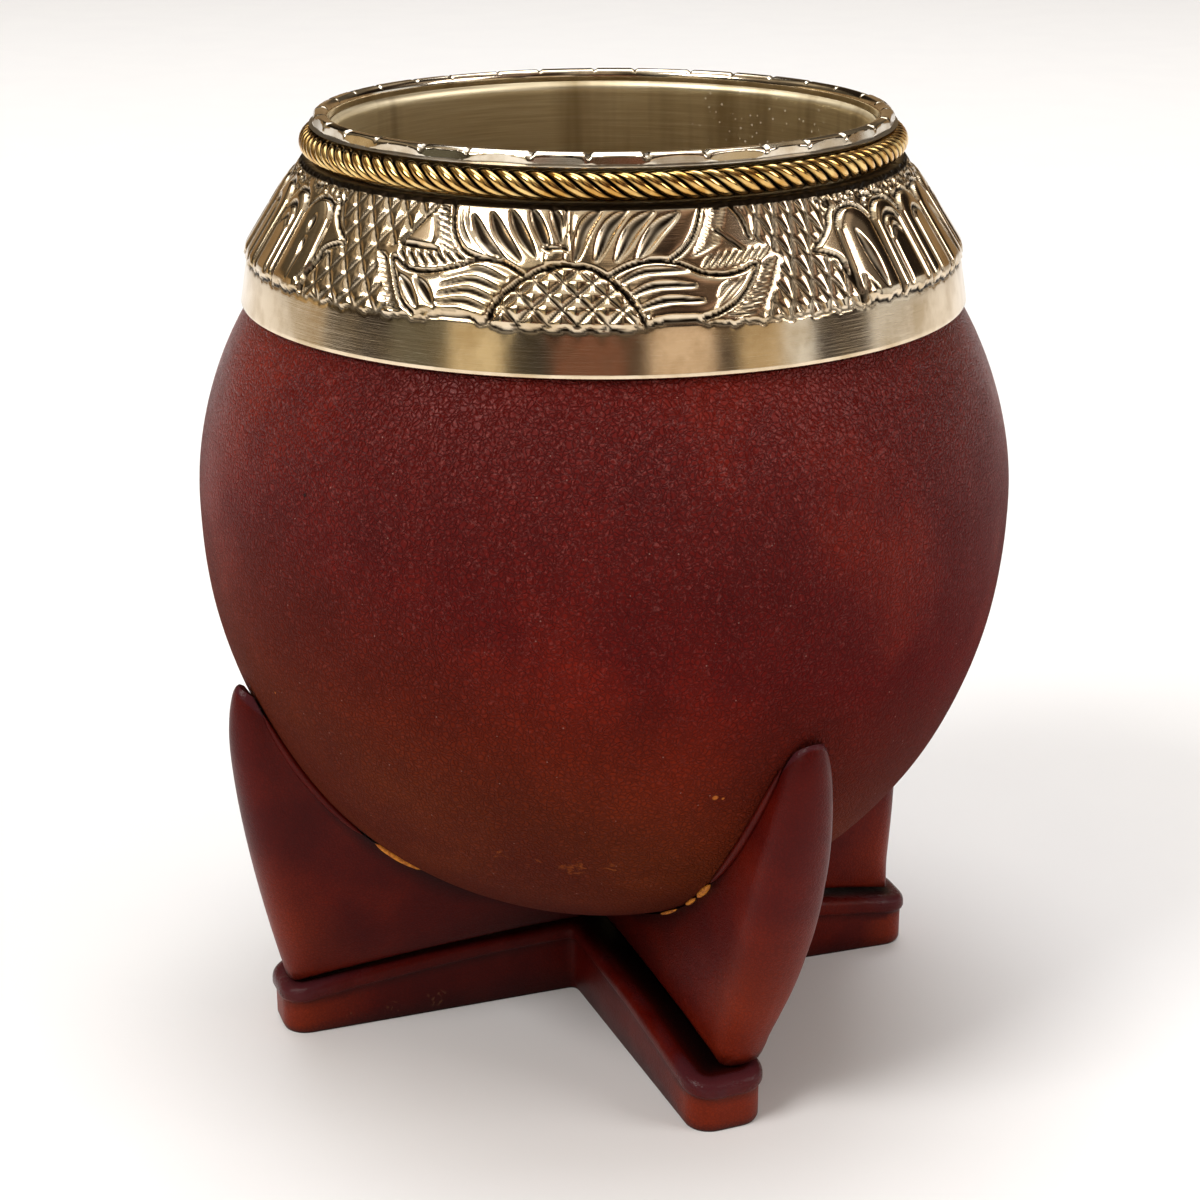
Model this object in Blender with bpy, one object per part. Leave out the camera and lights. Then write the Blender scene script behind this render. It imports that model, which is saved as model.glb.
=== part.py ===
"""A mate cup: a calabash covered in leather, with a chased metal collar, held by four fins on a cross.

Lengths are metres, angles are degrees. Z is up, the ground is z = 0, and the cup's axis is x = y = 0.
Azimuth 0 points along +X and turns counter-clockwise seen from above. The front is -Y.
"""
import math

import bmesh
import bpy
from mathutils import Vector

# Clearance between two pieces that touch, and the distance within which two points are the same.
GAP = 0.0003
TINY = 0.00001

# The covered gourd: half an ellipse above its widest circle, and a longer and fuller one below.
GOURD_RADIUS = 0.0478
GOURD_WAIST_Z = 0.066
GOURD_RISE = 0.0445
GOURD_DROP = 0.0524
GOURD_FULLNESS = 2.1
LEATHER_THICKNESS = 0.0016
SHELL_THICKNESS = 0.005
LEATHER_TOP_Z = 0.0889
NECK_TOP_Z = 0.1018
NECK_INSET = 0.0020

# The collar: a plain band below, a chased cone above it, and a flange that carries the rope.
COLLAR_WALL = 0.0008
BAND_BOTTOM_Z = 0.0892
BAND_BOTTOM_RADIUS = 0.0418
BAND_BEVEL = 0.0002
SHOULDER_Z = 0.0949
SHOULDER_RADIUS = 0.0408
CONE_TOP_Z = 0.1053
CONE_TOP_RADIUS = 0.0341
FLANGE_THICKNESS = 0.0009
CONE_SLANT = math.hypot(1.0, (SHOULDER_RADIUS - CONE_TOP_RADIUS) / (CONE_TOP_Z - SHOULDER_Z))

# The chased pattern: two flowers opposite each other, and a fluted palmette on each side of them.
FLOWER_AZIMUTH = -95.4
DOME_RADIUS = 0.0075
DOME_HEIGHT = 0.0007
PETAL_WAVES = 4
PALMETTE_HALF_SPAN = 48.0
FLUTE_PITCH = 8.0
RELIEF = 0.00045

# The rope ring, the rim on top of it and the liner inside the mouth.
ROPE_RADIUS = 0.0330
ROPE_TUBE = 0.0015
RIM_RADIUS = 0.0320
RIM_TUBE = 0.00075
RIM_TOP_Z = 0.1104
RIM_STEP_RADIUS = 0.03275
RIM_STEP = 0.0003
RIM_BEAD_ANGLES = (-10.0, 35.0, 80.0, 125.0, 180.0)
RIM_NOTCHES = 33
NOTCH_DEPTH = 0.00025
LINER_RADIUS = 0.0305
LINER_WALL = 0.0007
LINER_BOTTOM_Z = 0.088
LINER_CHAMFER = 0.0007
LINER_LIP_REACH = 0.0003
LINER_LIP_HEIGHT = 0.0006

# The stand: a cross of four leather arms, each carrying one fin. A lip rolls over each arm's wall.
ARM_HALF = 0.0049
ARM_CORNER = 0.0034
CROTCH_ROUND = 0.0012
CROTCH_PULL = 0.3
CROSS_TOP_Z = 0.0093
CROSS_FALL = 1.8
LIP_OVERHANG = 0.0004
LIP_HEIGHT = 0.0020
LIP_ROUND = 0.0007
ARM_STATIONS = (0.35, 0.7)
CORNER_TURNS = (0.0, 30.0, 60.0, 90.0)

# Each arm was cut by hand: its azimuth, its centre line's distance from the axis, and its length.
ARMS = {
    "right": (18.2, -0.0007, 0.0405),
    "back": (109.8, -0.0005, 0.0411),
    "left": (199.6, -0.0015, 0.0425),
    "front": (291.9, -0.0007, 0.0407),
}

# A fin: an outline in its arm's plane, thick at half height and thin at the foot and the tip.
FIN_START = 0.0046
FIN_NOSE = 0.0070
FIN_BELLY_SHARE = 0.7
FIN_FOOT_HALF = 0.0027
FIN_TIP_HALF = 0.0022
FIN_SWELL = 0.0021
FIN_LEAN_EARLY = 0.6
FIN_EDGE_ROUND = 0.0023
FIN_EDGE_THIN = 0.7
FIN_TIP_REACH = 0.0009
FIN_ROWS_FOOT = 6
FIN_ROWS_EDGE = 10
FIN_COLUMNS = (0.0, 0.4, 0.8, 0.92, 0.98, 1.0)

# Each fin: its azimuth, its tip's sideways lean and height, its belly's and foot's radius, its fullness.
FINS = {
    "right": (17.8, 0.0020, 0.0360, 0.0400, 0.0387, 1.5),
    "back": (109.0, 0.0040, 0.0463, 0.0466, 0.0404, 1.5),
    "left": (197.8, 0.0048, 0.0470, 0.0471, 0.0412, 1.5),
    "front": (293.9, 0.0039, 0.0491, 0.0475, 0.0385, 1.9),
}

# Segments round the axis, and points down the gourd. Leather and shell share them, so they stay apart.
GOURD_STEPS = 52
GOURD_POINTS = 12
COLLAR_STEPS = 96
COLLAR_ROWS = 5
ROPE_STEPS = 80
ROPE_SIDES = 8
RIM_STEPS = 3 * RIM_NOTCHES
LINER_STEPS = 40


def clear_scene():
    for thing in list(bpy.data.objects):
        bpy.data.objects.remove(thing, do_unlink=True)


def material(name, colour, roughness, metallic=0.0):
    """One Principled material with a plain linear colour."""
    made = bpy.data.materials.new(name)
    made.use_nodes = True
    shader = made.node_tree.nodes["Principled BSDF"]
    shader.inputs["Base Color"].default_value = (*colour, 1.0)
    shader.inputs["Roughness"].default_value = roughness
    shader.inputs["Metallic"].default_value = metallic
    return made


def to_object(name, builder, look, sharp_angle=40.0):
    """Turn a finished bmesh into a named object with faces outward and smooth round surfaces."""
    bmesh.ops.recalc_face_normals(builder, faces=builder.faces)
    mesh = bpy.data.meshes.new(name)
    builder.to_mesh(mesh)
    builder.free()
    mesh.shade_smooth()
    mesh.set_sharp_from_angle(angle=math.radians(sharp_angle))
    mesh.materials.append(look)
    made = bpy.data.objects.new(name, mesh)
    bpy.context.collection.objects.link(made)
    return made


def spin_profile(profile, steps, closed):
    """Turn a profile of (radius, height) points about Z. A profile that isn't closed ends on the axis."""
    builder = bmesh.new()
    points = [builder.verts.new((radius, 0.0, height)) for radius, height in profile]
    pairs = list(zip(points, points[1:]))
    if closed:
        pairs.append((points[-1], points[0]))
    edges = [builder.edges.new(pair) for pair in pairs]
    bmesh.ops.spin(builder, geom=points + edges, cent=(0, 0, 0), axis=(0, 0, 1),
                   angle=math.tau, steps=steps, use_merge=True)
    bmesh.ops.remove_doubles(builder, verts=builder.verts, dist=0.000001)
    return builder


def polar(radius, azimuth, sideways=0.0, height=0.0):
    """World point from an arm's own frame: out along its azimuth, then sideways to its left."""
    out = math.radians(azimuth)
    return Vector((radius * math.cos(out) - sideways * math.sin(out),
                   radius * math.sin(out) + sideways * math.cos(out), height))


def gourd_radius(height, inset=0.0):
    """Radius of the gourd, drawn in by inset, at a height."""
    above = height > GOURD_WAIST_Z
    reach = (GOURD_RISE if above else GOURD_DROP) - inset
    share = min(1.0, abs(height - GOURD_WAIST_Z) / reach)
    return (GOURD_RADIUS - inset) * math.sqrt(1.0 - share ** (2.0 if above else GOURD_FULLNESS))


def gourd_height(angle, inset=0.0):
    """Height on the gourd where its radius is the widest one times cos(angle); minus is below the waist."""
    if angle > 0.0:
        return GOURD_WAIST_Z + (GOURD_RISE - inset) * math.sin(angle)
    return GOURD_WAIST_Z - (GOURD_DROP - inset) * (-math.sin(angle)) ** (2.0 / GOURD_FULLNESS)


def gourd_curve(inset, top_angle, points):
    """Profile points from top_angle down to the pole, in equal steps of the angle."""
    curve = []
    for index in range(points - 1):
        angle = math.radians(top_angle + (-90.0 - top_angle) * index / (points - 1))
        curve.append(((GOURD_RADIUS - inset) * math.cos(angle), gourd_height(angle, inset)))
    return curve + [(0.0, GOURD_WAIST_Z - GOURD_DROP + inset)]


def top_angle_at(height, inset):
    """The angle of gourd_height at a height above the waist."""
    return math.degrees(math.asin((height - GOURD_WAIST_Z) / (GOURD_RISE - inset)))


def make_leather_cover(look):
    """The leather skin: an even wall round the gourd, open under the collar."""
    outer = gourd_curve(0.0, top_angle_at(LEATHER_TOP_Z, 0.0), GOURD_POINTS)
    inner = gourd_curve(LEATHER_THICKNESS, top_angle_at(LEATHER_TOP_Z, LEATHER_THICKNESS), GOURD_POINTS)
    return to_object("leather_cover", spin_profile(outer[::-1] + inner, GOURD_STEPS, False), look)


def cone_radius(height, inset=0.0):
    """Radius of the collar's cone at a height, drawn in by inset."""
    share = (CONE_TOP_Z - height) / (CONE_TOP_Z - SHOULDER_Z)
    return CONE_TOP_RADIUS + (SHOULDER_RADIUS - CONE_TOP_RADIUS) * share - inset


def make_gourd_shell(look):
    """The calabash: a thick wall with an open neck that reaches up into the collar."""
    outer_inset = LEATHER_THICKNESS + GAP
    inner_inset = outer_inset + SHELL_THICKNESS
    neck_inner = LINER_RADIUS + LINER_WALL + GAP
    neck_outer = gourd_radius(LEATHER_TOP_Z, outer_inset)
    outer = gourd_curve(outer_inset, top_angle_at(LEATHER_TOP_Z, outer_inset), GOURD_POINTS)
    neck = [(cone_radius(NECK_TOP_Z, NECK_INSET), NECK_TOP_Z), (neck_outer, SHOULDER_Z)]
    inner_angle = math.degrees(math.acos(neck_inner / (GOURD_RADIUS - inner_inset)))
    inner = [(neck_inner, NECK_TOP_Z)] + gourd_curve(inner_inset, inner_angle, GOURD_POINTS - 2)
    profile = (neck + outer)[::-1] + inner
    return to_object("gourd_shell", spin_profile(profile, GOURD_STEPS, False), look)


def turned_offset(azimuth, centre):
    """Angle from centre to azimuth, between -180 and 180."""
    return (azimuth - centre + 180.0) % 360.0 - 180.0


def chased_relief(azimuth, height):
    """How far the chased cone stands out: domed flower hearts, petals beside them, fluted palmettes."""
    down = (CONE_TOP_Z - height) / (CONE_TOP_Z - SHOULDER_Z)
    fade = math.sin(math.pi * min(1.0, down))
    flower = min((turned_offset(azimuth, FLOWER_AZIMUTH + turn) for turn in (0.0, 180.0)), key=abs)
    side = 90.0 - abs(flower)
    arc = math.radians(flower) * cone_radius(height)
    slope = (height - SHOULDER_Z) * CONE_SLANT
    reach = math.hypot(arc, slope)
    if reach < DOME_RADIUS:
        return DOME_HEIGHT * math.sqrt(1.0 - (reach / DOME_RADIUS) ** 2)
    if abs(side) < PALMETTE_HALF_SPAN:
        return RELIEF * fade * abs(math.cos(math.pi * side / FLUTE_PITCH))
    fan = math.atan2(slope, arc)
    return RELIEF * fade * abs(math.cos(PETAL_WAVES * fan))


def make_collar(look):
    """The collar: turned from one profile, then its cone is pushed out by the chased pattern."""
    cone = []
    for row in range(COLLAR_ROWS + 1):
        height = CONE_TOP_Z + (SHOULDER_Z - CONE_TOP_Z) * row / COLLAR_ROWS
        cone.append((cone_radius(height), height))
    flange_inner = LINER_RADIUS + LINER_WALL + GAP
    flange_bottom = CONE_TOP_Z - FLANGE_THICKNESS
    wall = COLLAR_WALL * CONE_SLANT
    inside = [(BAND_BOTTOM_RADIUS - wall, BAND_BOTTOM_Z), (SHOULDER_RADIUS - wall, SHOULDER_Z - BAND_BEVEL),
              (cone_radius(flange_bottom, wall), flange_bottom), (flange_inner, flange_bottom),
              (flange_inner, CONE_TOP_Z)]
    band = [(BAND_BOTTOM_RADIUS, BAND_BOTTOM_Z + BAND_BEVEL),
            (BAND_BOTTOM_RADIUS - BAND_BEVEL, BAND_BOTTOM_Z)]
    builder = spin_profile(cone + band + inside, COLLAR_STEPS, True)
    for vert in builder.verts:
        radius = math.hypot(vert.co.x, vert.co.y)
        on_cone = abs(radius - cone_radius(vert.co.z)) < TINY
        if on_cone and SHOULDER_Z - TINY < vert.co.z < CONE_TOP_Z - TINY:
            azimuth = math.degrees(math.atan2(vert.co.y, vert.co.x))
            stretch = 1.0 + chased_relief(azimuth, vert.co.z) / radius
            vert.co.x *= stretch
            vert.co.y *= stretch
    return to_object("chased_collar", builder, look, 30.0)


def make_rope(look):
    """The twisted rope as its outer tube."""
    centre_z = CONE_TOP_Z + GAP + ROPE_TUBE
    turn = [math.tau * side / ROPE_SIDES for side in range(ROPE_SIDES)]
    profile = [(ROPE_RADIUS + ROPE_TUBE * math.cos(angle), centre_z + ROPE_TUBE * math.sin(angle))
               for angle in turn]
    return to_object("rope_ring", spin_profile(profile, ROPE_STEPS, True), look, 60.0)


def make_rim(look):
    """The rim: a bead on a small step, with a row of chisel notches along the outside of the bead."""
    centre_z = RIM_TOP_Z - RIM_TUBE
    bottom_z = centre_z - RIM_TUBE
    step = [(RIM_STEP_RADIUS, bottom_z), (RIM_STEP_RADIUS, bottom_z + RIM_STEP)]
    arc = [math.radians(angle) for angle in RIM_BEAD_ANGLES]
    bead = [(RIM_RADIUS + RIM_TUBE * math.cos(angle), centre_z + RIM_TUBE * math.sin(angle)) for angle in arc]
    profile = step + bead + [(RIM_RADIUS - RIM_TUBE, bottom_z)]
    builder = spin_profile(profile, RIM_STEPS, True)
    for vert in builder.verts:
        radius = math.hypot(vert.co.x, vert.co.y)
        step_index = round(math.atan2(vert.co.y, vert.co.x) / math.tau * RIM_STEPS)
        notched = step_index % 3 == 0 and radius > RIM_RADIUS and vert.co.z > centre_z
        if notched:
            inward = 1.0 - NOTCH_DEPTH / radius
            vert.co.x *= inward
            vert.co.y *= inward
            vert.co.z -= NOTCH_DEPTH
    return to_object("rim_ring", builder, look)


def make_liner(look):
    """The metal sleeve inside the mouth, chamfered and turned out under the rim."""
    top_z = RIM_TOP_Z - 2.0 * RIM_TUBE - GAP
    outer = LINER_RADIUS + LINER_WALL
    lip = outer + LINER_LIP_REACH
    lip_z = top_z - LINER_LIP_HEIGHT
    profile = [(lip, top_z), (lip, lip_z), (outer, lip_z - GAP), (outer, LINER_BOTTOM_Z),
               (LINER_RADIUS, LINER_BOTTOM_Z), (LINER_RADIUS, top_z - LINER_CHAMFER),
               (LINER_RADIUS + LINER_CHAMFER, top_z)]
    return to_object("mouth_liner", spin_profile(profile, LINER_STEPS, True), look)


def cross_top(radius):
    """Height of the stand's top, which falls away from the middle."""
    return CROSS_TOP_Z - CROSS_FALL * radius * radius


def arm_side(row, side, inset):
    """A line along one side of an arm: a point on it and its direction."""
    azimuth, shift, _ = ARMS[row]
    sideways = shift + side * (ARM_HALF - inset)
    return polar(0.0, azimuth, sideways), polar(1.0, azimuth)


def crossing(first, second):
    """Where two lines in the ground plane cross."""
    (start, along), (other, across) = first, second
    gap = other - start
    turn = along.x * across.y - along.y * across.x
    reach = (gap.x * across.y - gap.y * across.x) / turn
    return start + along * reach


def cross_ring(inset, height_of):
    """Outline of the cross, drawn in by inset: down one side of each arm, round its end, and back."""
    rows = list(ARMS)
    ring = []
    for index, row in enumerate(rows):
        azimuth, shift, length = ARMS[row]
        crotch = crossing(arm_side(rows[index - 1], 1.0, inset), arm_side(row, -1.0, inset))
        before = polar(CROTCH_ROUND, ARMS[rows[index - 1]][0])
        after = polar(CROTCH_ROUND, azimuth)
        ring += [crotch + before, crotch + (before + after) * CROTCH_PULL, crotch + after]
        half = ARM_HALF - inset
        end = length - inset
        corner = ARM_CORNER - inset
        for station in ARM_STATIONS:
            ring.append(polar(end * station, azimuth, shift - half))
        for side, turns in ((-1.0, CORNER_TURNS), (1.0, CORNER_TURNS[::-1])):
            for turn in turns:
                angle = math.radians(turn)
                ring.append(polar(end - corner + corner * math.sin(angle), azimuth,
                                  shift + side * (half - corner + corner * math.cos(angle))))
        for station in ARM_STATIONS[::-1]:
            ring.append(polar(end * station, azimuth, shift + half))
    for point in ring:
        point.z = height_of(math.hypot(point.x, point.y))
    return ring


def loft(rings):
    """A closed body whose first ring is a face and whose every next ring is an extrusion of it."""
    builder = bmesh.new()
    face = builder.faces.new([builder.verts.new(point) for point in rings[0]])
    first = face
    for before, after in zip(rings, rings[1:]):
        grown = bmesh.ops.extrude_face_region(builder, geom=[face])["geom"]
        if face is not first:
            builder.faces.remove(face)
        face = next(item for item in grown if isinstance(item, bmesh.types.BMFace))
        for vert in face.verts:
            nearest = min(range(len(before)), key=lambda index: (before[index] - vert.co).length)
            vert.co = after[nearest]
    return builder


def make_cross(look):
    """The cross: upright walls under a leather lip that rolls over onto a top falling outward."""
    def below_top(drop):
        return lambda radius: cross_top(radius) - drop

    rings = [cross_ring(LIP_OVERHANG, lambda radius: 0.0),
             cross_ring(LIP_OVERHANG, below_top(LIP_HEIGHT + LIP_OVERHANG)),
             cross_ring(0.0, below_top(LIP_HEIGHT)),
             cross_ring(0.0, below_top(LIP_ROUND)),
             cross_ring(LIP_ROUND * 0.3, below_top(LIP_ROUND * 0.3)),
             cross_ring(LIP_ROUND, below_top(0.0))]
    builder = loft(rings)
    top = max(builder.faces, key=lambda face: face.calc_center_median().z)
    middle = bmesh.ops.poke(builder, faces=[top])["verts"][0]
    middle.co.z = cross_top(0.0)
    return to_object("base_cross", builder, look)


def foot_height(row):
    """Height at which a fin's outer edge leaves the cross."""
    return cross_top(FINS[row][4]) + GAP


def fin_edge(row, share):
    """Outer boundary of a fin, from its start on the cross, out to the foot, then up to the tip."""
    _, _, tip_z, belly_radius, foot_radius, fullness = FINS[row]
    foot_share = FIN_ROWS_FOOT / (FIN_ROWS_FOOT + FIN_ROWS_EDGE)
    if share <= foot_share:
        radius = FIN_START + (foot_radius - FIN_START) * share / foot_share
        return radius, cross_top(radius) + GAP
    climb = (share - foot_share) / (1.0 - foot_share)
    foot_z = foot_height(row)
    belly_z = tip_z - FIN_NOSE
    if climb <= FIN_BELLY_SHARE:
        height = foot_z + (belly_z - foot_z) * climb / FIN_BELLY_SHARE
        lag = max(0.0, (belly_z - height) / (belly_z - foot_z))
        return belly_radius - (belly_radius - foot_radius) * lag ** fullness, height
    nose = math.radians(90.0 * (climb - FIN_BELLY_SHARE) / (1.0 - FIN_BELLY_SHARE))
    tip_radius = gourd_radius(tip_z) + FIN_TIP_REACH
    return (tip_radius + (belly_radius - tip_radius) * math.cos(nose),
            belly_z + FIN_NOSE * math.sin(nose))


def fin_inner_height(share, tip_z):
    """Height of the fin's inner boundary, which climbs the gourd in equal steps of its angle."""
    start = math.acos(FIN_START / (GOURD_RADIUS + GAP))
    drop = (GOURD_WAIST_Z - tip_z + FIN_TIP_REACH) / (GOURD_DROP + GAP)
    top = math.asin(drop ** (GOURD_FULLNESS / 2.0))
    return gourd_height(-start - (top - start) * share, -GAP)


def fin_half(climb):
    """Half the fin's thickness, by how far up the fin it is."""
    return FIN_FOOT_HALF + (FIN_TIP_HALF - FIN_FOOT_HALF) * climb + 4.0 * FIN_SWELL * climb * (1.0 - climb)


def fin_point(row, share, column, side):
    """Point on one face of a fin: share runs up the fin, column from the gourd out to the edge."""
    azimuth, lean, tip_z, _, _, _ = FINS[row]
    edge_radius, edge_z = fin_edge(row, share)
    inner_z = fin_inner_height(share, tip_z)
    height = inner_z + (edge_z - inner_z) * column
    foot_z = foot_height(row)
    climb = min(1.0, max(0.0, (height - foot_z) / (tip_z - foot_z)))
    risen = min(1.0, max(0.0, (edge_z - foot_z) / FIN_EDGE_ROUND))
    from_edge = (1.0 - column) * math.hypot(edge_radius - gourd_radius(inner_z), edge_z - inner_z)
    near_edge = max(0.0, 1.0 - from_edge / FIN_EDGE_ROUND)
    thin = 1.0 - FIN_EDGE_THIN * risen * (1.0 - math.sqrt(1.0 - near_edge * near_edge))
    sideways = lean * climb ** FIN_LEAN_EARLY + side * fin_half(climb) * thin
    surface = gourd_radius(inner_z, -GAP)
    inner_radius = math.sqrt(max(FIN_START ** 2, surface ** 2 - sideways ** 2))
    radius = inner_radius + (edge_radius - inner_radius) * column
    return polar(radius, azimuth, sideways, height)


def make_fin(row, look):
    """A fin: a grid for one face, extruded across to the other face."""
    rows = FIN_ROWS_FOOT + FIN_ROWS_EDGE
    columns = len(FIN_COLUMNS) - 1
    builder = bmesh.new()
    grid = bmesh.ops.create_grid(builder, x_segments=rows, y_segments=columns, size=1.0)["verts"]
    places = {}
    for vert in grid:
        share = round((vert.co.x + 1.0) / 2.0 * rows) / rows
        column = FIN_COLUMNS[round((vert.co.y + 1.0) / 2.0 * columns)]
        places[vert.index] = (share, column)
    grown = bmesh.ops.extrude_face_region(builder, geom=list(builder.faces))["geom"]
    far = [item for item in grown if isinstance(item, bmesh.types.BMVert)]
    flat = {(round(vert.co.x, 4), round(vert.co.y, 4)): places[vert.index] for vert in grid}
    for vert in far:
        vert.co = fin_point(row, *flat[(round(vert.co.x, 4), round(vert.co.y, 4))], 1.0)
    for vert in grid:
        vert.co = fin_point(row, *places[vert.index], -1.0)
    return to_object("fin_" + row, builder, look, 50.0)


def main():
    clear_scene()
    leather = material("oxblood_leather", (0.10, 0.012, 0.008), 0.42)
    calabash = material("dried_calabash", (0.32, 0.19, 0.09), 0.8)
    nickel = material("nickel_silver", (0.62, 0.56, 0.44), 0.25, 1.0)
    brass = material("brass_rope", (0.60, 0.40, 0.14), 0.28, 1.0)
    make_gourd_shell(calabash)
    make_leather_cover(leather)
    make_collar(nickel)
    make_rope(brass)
    make_rim(nickel)
    make_liner(nickel)
    make_cross(leather)
    for row in FINS:
        make_fin(row, leather)


main()
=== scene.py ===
# %% [markdown]
# # A leather-covered mate cup
# The cup is a dried calabash in a skin of dark red leather. A chased metal collar, a twisted rope ring
# and a notched rim close its mouth, and four leather fins on a cross hold it upright.
# Every length below is in metres unless its name says millimetres.

# %% Load the fixed frame
import math

import bmesh
import bpy
import numpy as np
from mathutils import Matrix, Vector, noise


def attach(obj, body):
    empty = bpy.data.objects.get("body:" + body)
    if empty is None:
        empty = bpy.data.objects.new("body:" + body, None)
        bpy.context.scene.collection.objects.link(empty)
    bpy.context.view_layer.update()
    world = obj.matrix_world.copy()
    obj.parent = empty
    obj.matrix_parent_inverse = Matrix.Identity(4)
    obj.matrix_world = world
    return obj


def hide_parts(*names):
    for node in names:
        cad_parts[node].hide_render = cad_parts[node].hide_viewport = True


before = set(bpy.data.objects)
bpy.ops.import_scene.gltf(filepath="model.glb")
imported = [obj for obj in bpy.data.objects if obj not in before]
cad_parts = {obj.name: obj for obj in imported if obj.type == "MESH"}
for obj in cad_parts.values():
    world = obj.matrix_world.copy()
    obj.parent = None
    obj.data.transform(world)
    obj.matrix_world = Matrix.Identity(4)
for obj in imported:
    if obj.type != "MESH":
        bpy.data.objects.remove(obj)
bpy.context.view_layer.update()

# %% [markdown]
# The camera comes first, because every later choice is judged through it. It stands a little above the
# rim and looks down by twenty degrees, as close as a person would hold a cup to look at it. A long lens
# keeps the round mouth from looking stretched.

# %% The camera
CAMERA_PLACE = Vector((0.0, -0.27705, 0.15074))
CAMERA_DOWN = 0.34645
CAMERA_YAW = 0.0018
CAMERA_ROLL = -0.0023
SENSOR_MM = 36.0
LENS_MM = 72.54

camera_data = bpy.data.cameras.new("camera")
camera_data.sensor_width = SENSOR_MM
camera_data.lens = LENS_MM
camera_data.clip_start = 0.01
camera = bpy.data.objects.new("camera", camera_data)
turn = (Matrix.Rotation(CAMERA_YAW, 3, "Z") @ Matrix.Rotation(math.pi / 2 - CAMERA_DOWN, 3, "X")
        @ Matrix.Rotation(CAMERA_ROLL, 3, "Z"))
camera.matrix_world = Matrix.Translation(CAMERA_PLACE) @ turn.to_4x4()
bpy.context.collection.objects.link(camera)
bpy.context.scene.camera = camera
print("camera lens", LENS_MM, "mm")

# %% [markdown]
# Three small helpers serve every material. Colours are written as the hex values that a screen shows, and
# a shader wants linear light, so one function converts them. Another adds a node of any kind with its
# settings and links, and the third starts a material from a Principled shader.

# %% Helpers for materials


def linear(hex_colour):
    """Linear RGBA from an sRGB hex colour."""
    shown = [int(hex_colour[place:place + 2], 16) / 255.0 for place in (1, 3, 5)]
    light = [value / 12.92 if value <= 0.04045 else ((value + 0.055) / 1.055) ** 2.4 for value in shown]
    return (*light, 1.0)


def add(tree, kind, values=(), output=None, stops=(), **settings):
    """Add one shader node, and return the output named or else the first that the node shows.

    Values are numbers, hex colours or links: named in a dictionary, or in order for the inputs that the node
    shows. Stops are a colour ramp's (place, colour) pairs, and settings are the node's own properties.
    """
    made = tree.nodes.new("ShaderNode" + kind)
    for name, value in settings.items():
        setattr(made, name, value)
    if stops:
        points = made.color_ramp.elements
        while len(points) < len(stops):
            points.new(0.5)
        for point, (place, colour) in zip(points, stops):
            point.position = place
            point.color = linear(colour)
    if not isinstance(values, dict):
        values = dict(zip([index for index, socket in enumerate(made.inputs) if socket.enabled], values))
    for key, value in values.items():
        if isinstance(value, bpy.types.NodeSocket):
            tree.links.new(value, made.inputs[key])
        else:
            made.inputs[key].default_value = linear(value) if isinstance(value, str) else value
    return made.outputs[output] if output else next(socket for socket in made.outputs if socket.enabled)


def start_material(name, **values):
    """A material with a Principled shader, whose plain inputs are set straight on its sockets."""
    made = bpy.data.materials.new(name)
    made.use_nodes = True
    shader = made.node_tree.nodes["Principled BSDF"]
    for key, value in values.items():
        shader.inputs[key.replace("_", " ")].default_value = value
    return made, made.node_tree, shader


# %% [markdown]
# Light decides how metal reads, because polished metal is only as bright as what it mirrors. A cup in a
# studio mirrors a horizon of pale cards with dark gaps between them, and a bright ceiling. Here the world
# itself is painted that way: one ramp runs round the horizon, another round the sky above it.

# %% The world and the lights
# Each pair is where a card ends, as a share of the turn from -X, and its colour.
HORIZON = ((0.020, "#4a4030"), (0.060, "#2a1f17"), (0.118, "#6f6a58"), (0.168, "#f6e2b8"), (0.208, "#35332d"),
           (0.268, "#8a5c48"), (0.288, "#54402f"), (0.344, "#f6dcc0"), (0.365, "#43352a"), (0.406, "#e0c8a0"),
           (0.436, "#ffffff"), (0.497, "#2a1d15"), (0.580, "#ffffff"), (0.930, "#a88c68"), (0.985, "#d8bb8c"),
           (1.000, "#4a4030"))
OVERHEAD = ((0.060, "#dcc6a6"), (0.110, "#5f4f3e"), (0.190, "#fff3dc"), (0.230, "#5a4a3a"),
            (0.300, "#f4dcc0"), (0.350, "#5d4638"), (0.420, "#c09c84"), (0.470, "#4a3a32"),
            (0.560, "#cbb6a0"), (0.640, "#544438"), (0.760, "#d6c3a8"), (0.860, "#574838"),
            (0.950, "#e6d3b4"), (1.000, "#b8a488"))
HEIGHTS = ((0.230, "#ffffff"), (0.420, "#6c6c6c"), (0.560, "#8c8c8c"), (0.700, "#e6e6e6"), (0.800, "#7a7a7a"),
           (1.000, "#ffffff"))
CARD_EDGE = 0.004
SKY_STRENGTH = 0.85


def cards(ends, edge):
    """Ramp stops for a row of cards with soft edges."""
    starts = [0.0] + [end for end, _ in ends[:-1]]
    stops = []
    for start, (end, colour) in zip(starts, ends):
        stops += [(start + edge, colour), (end - edge, colour)]
    return stops


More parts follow.
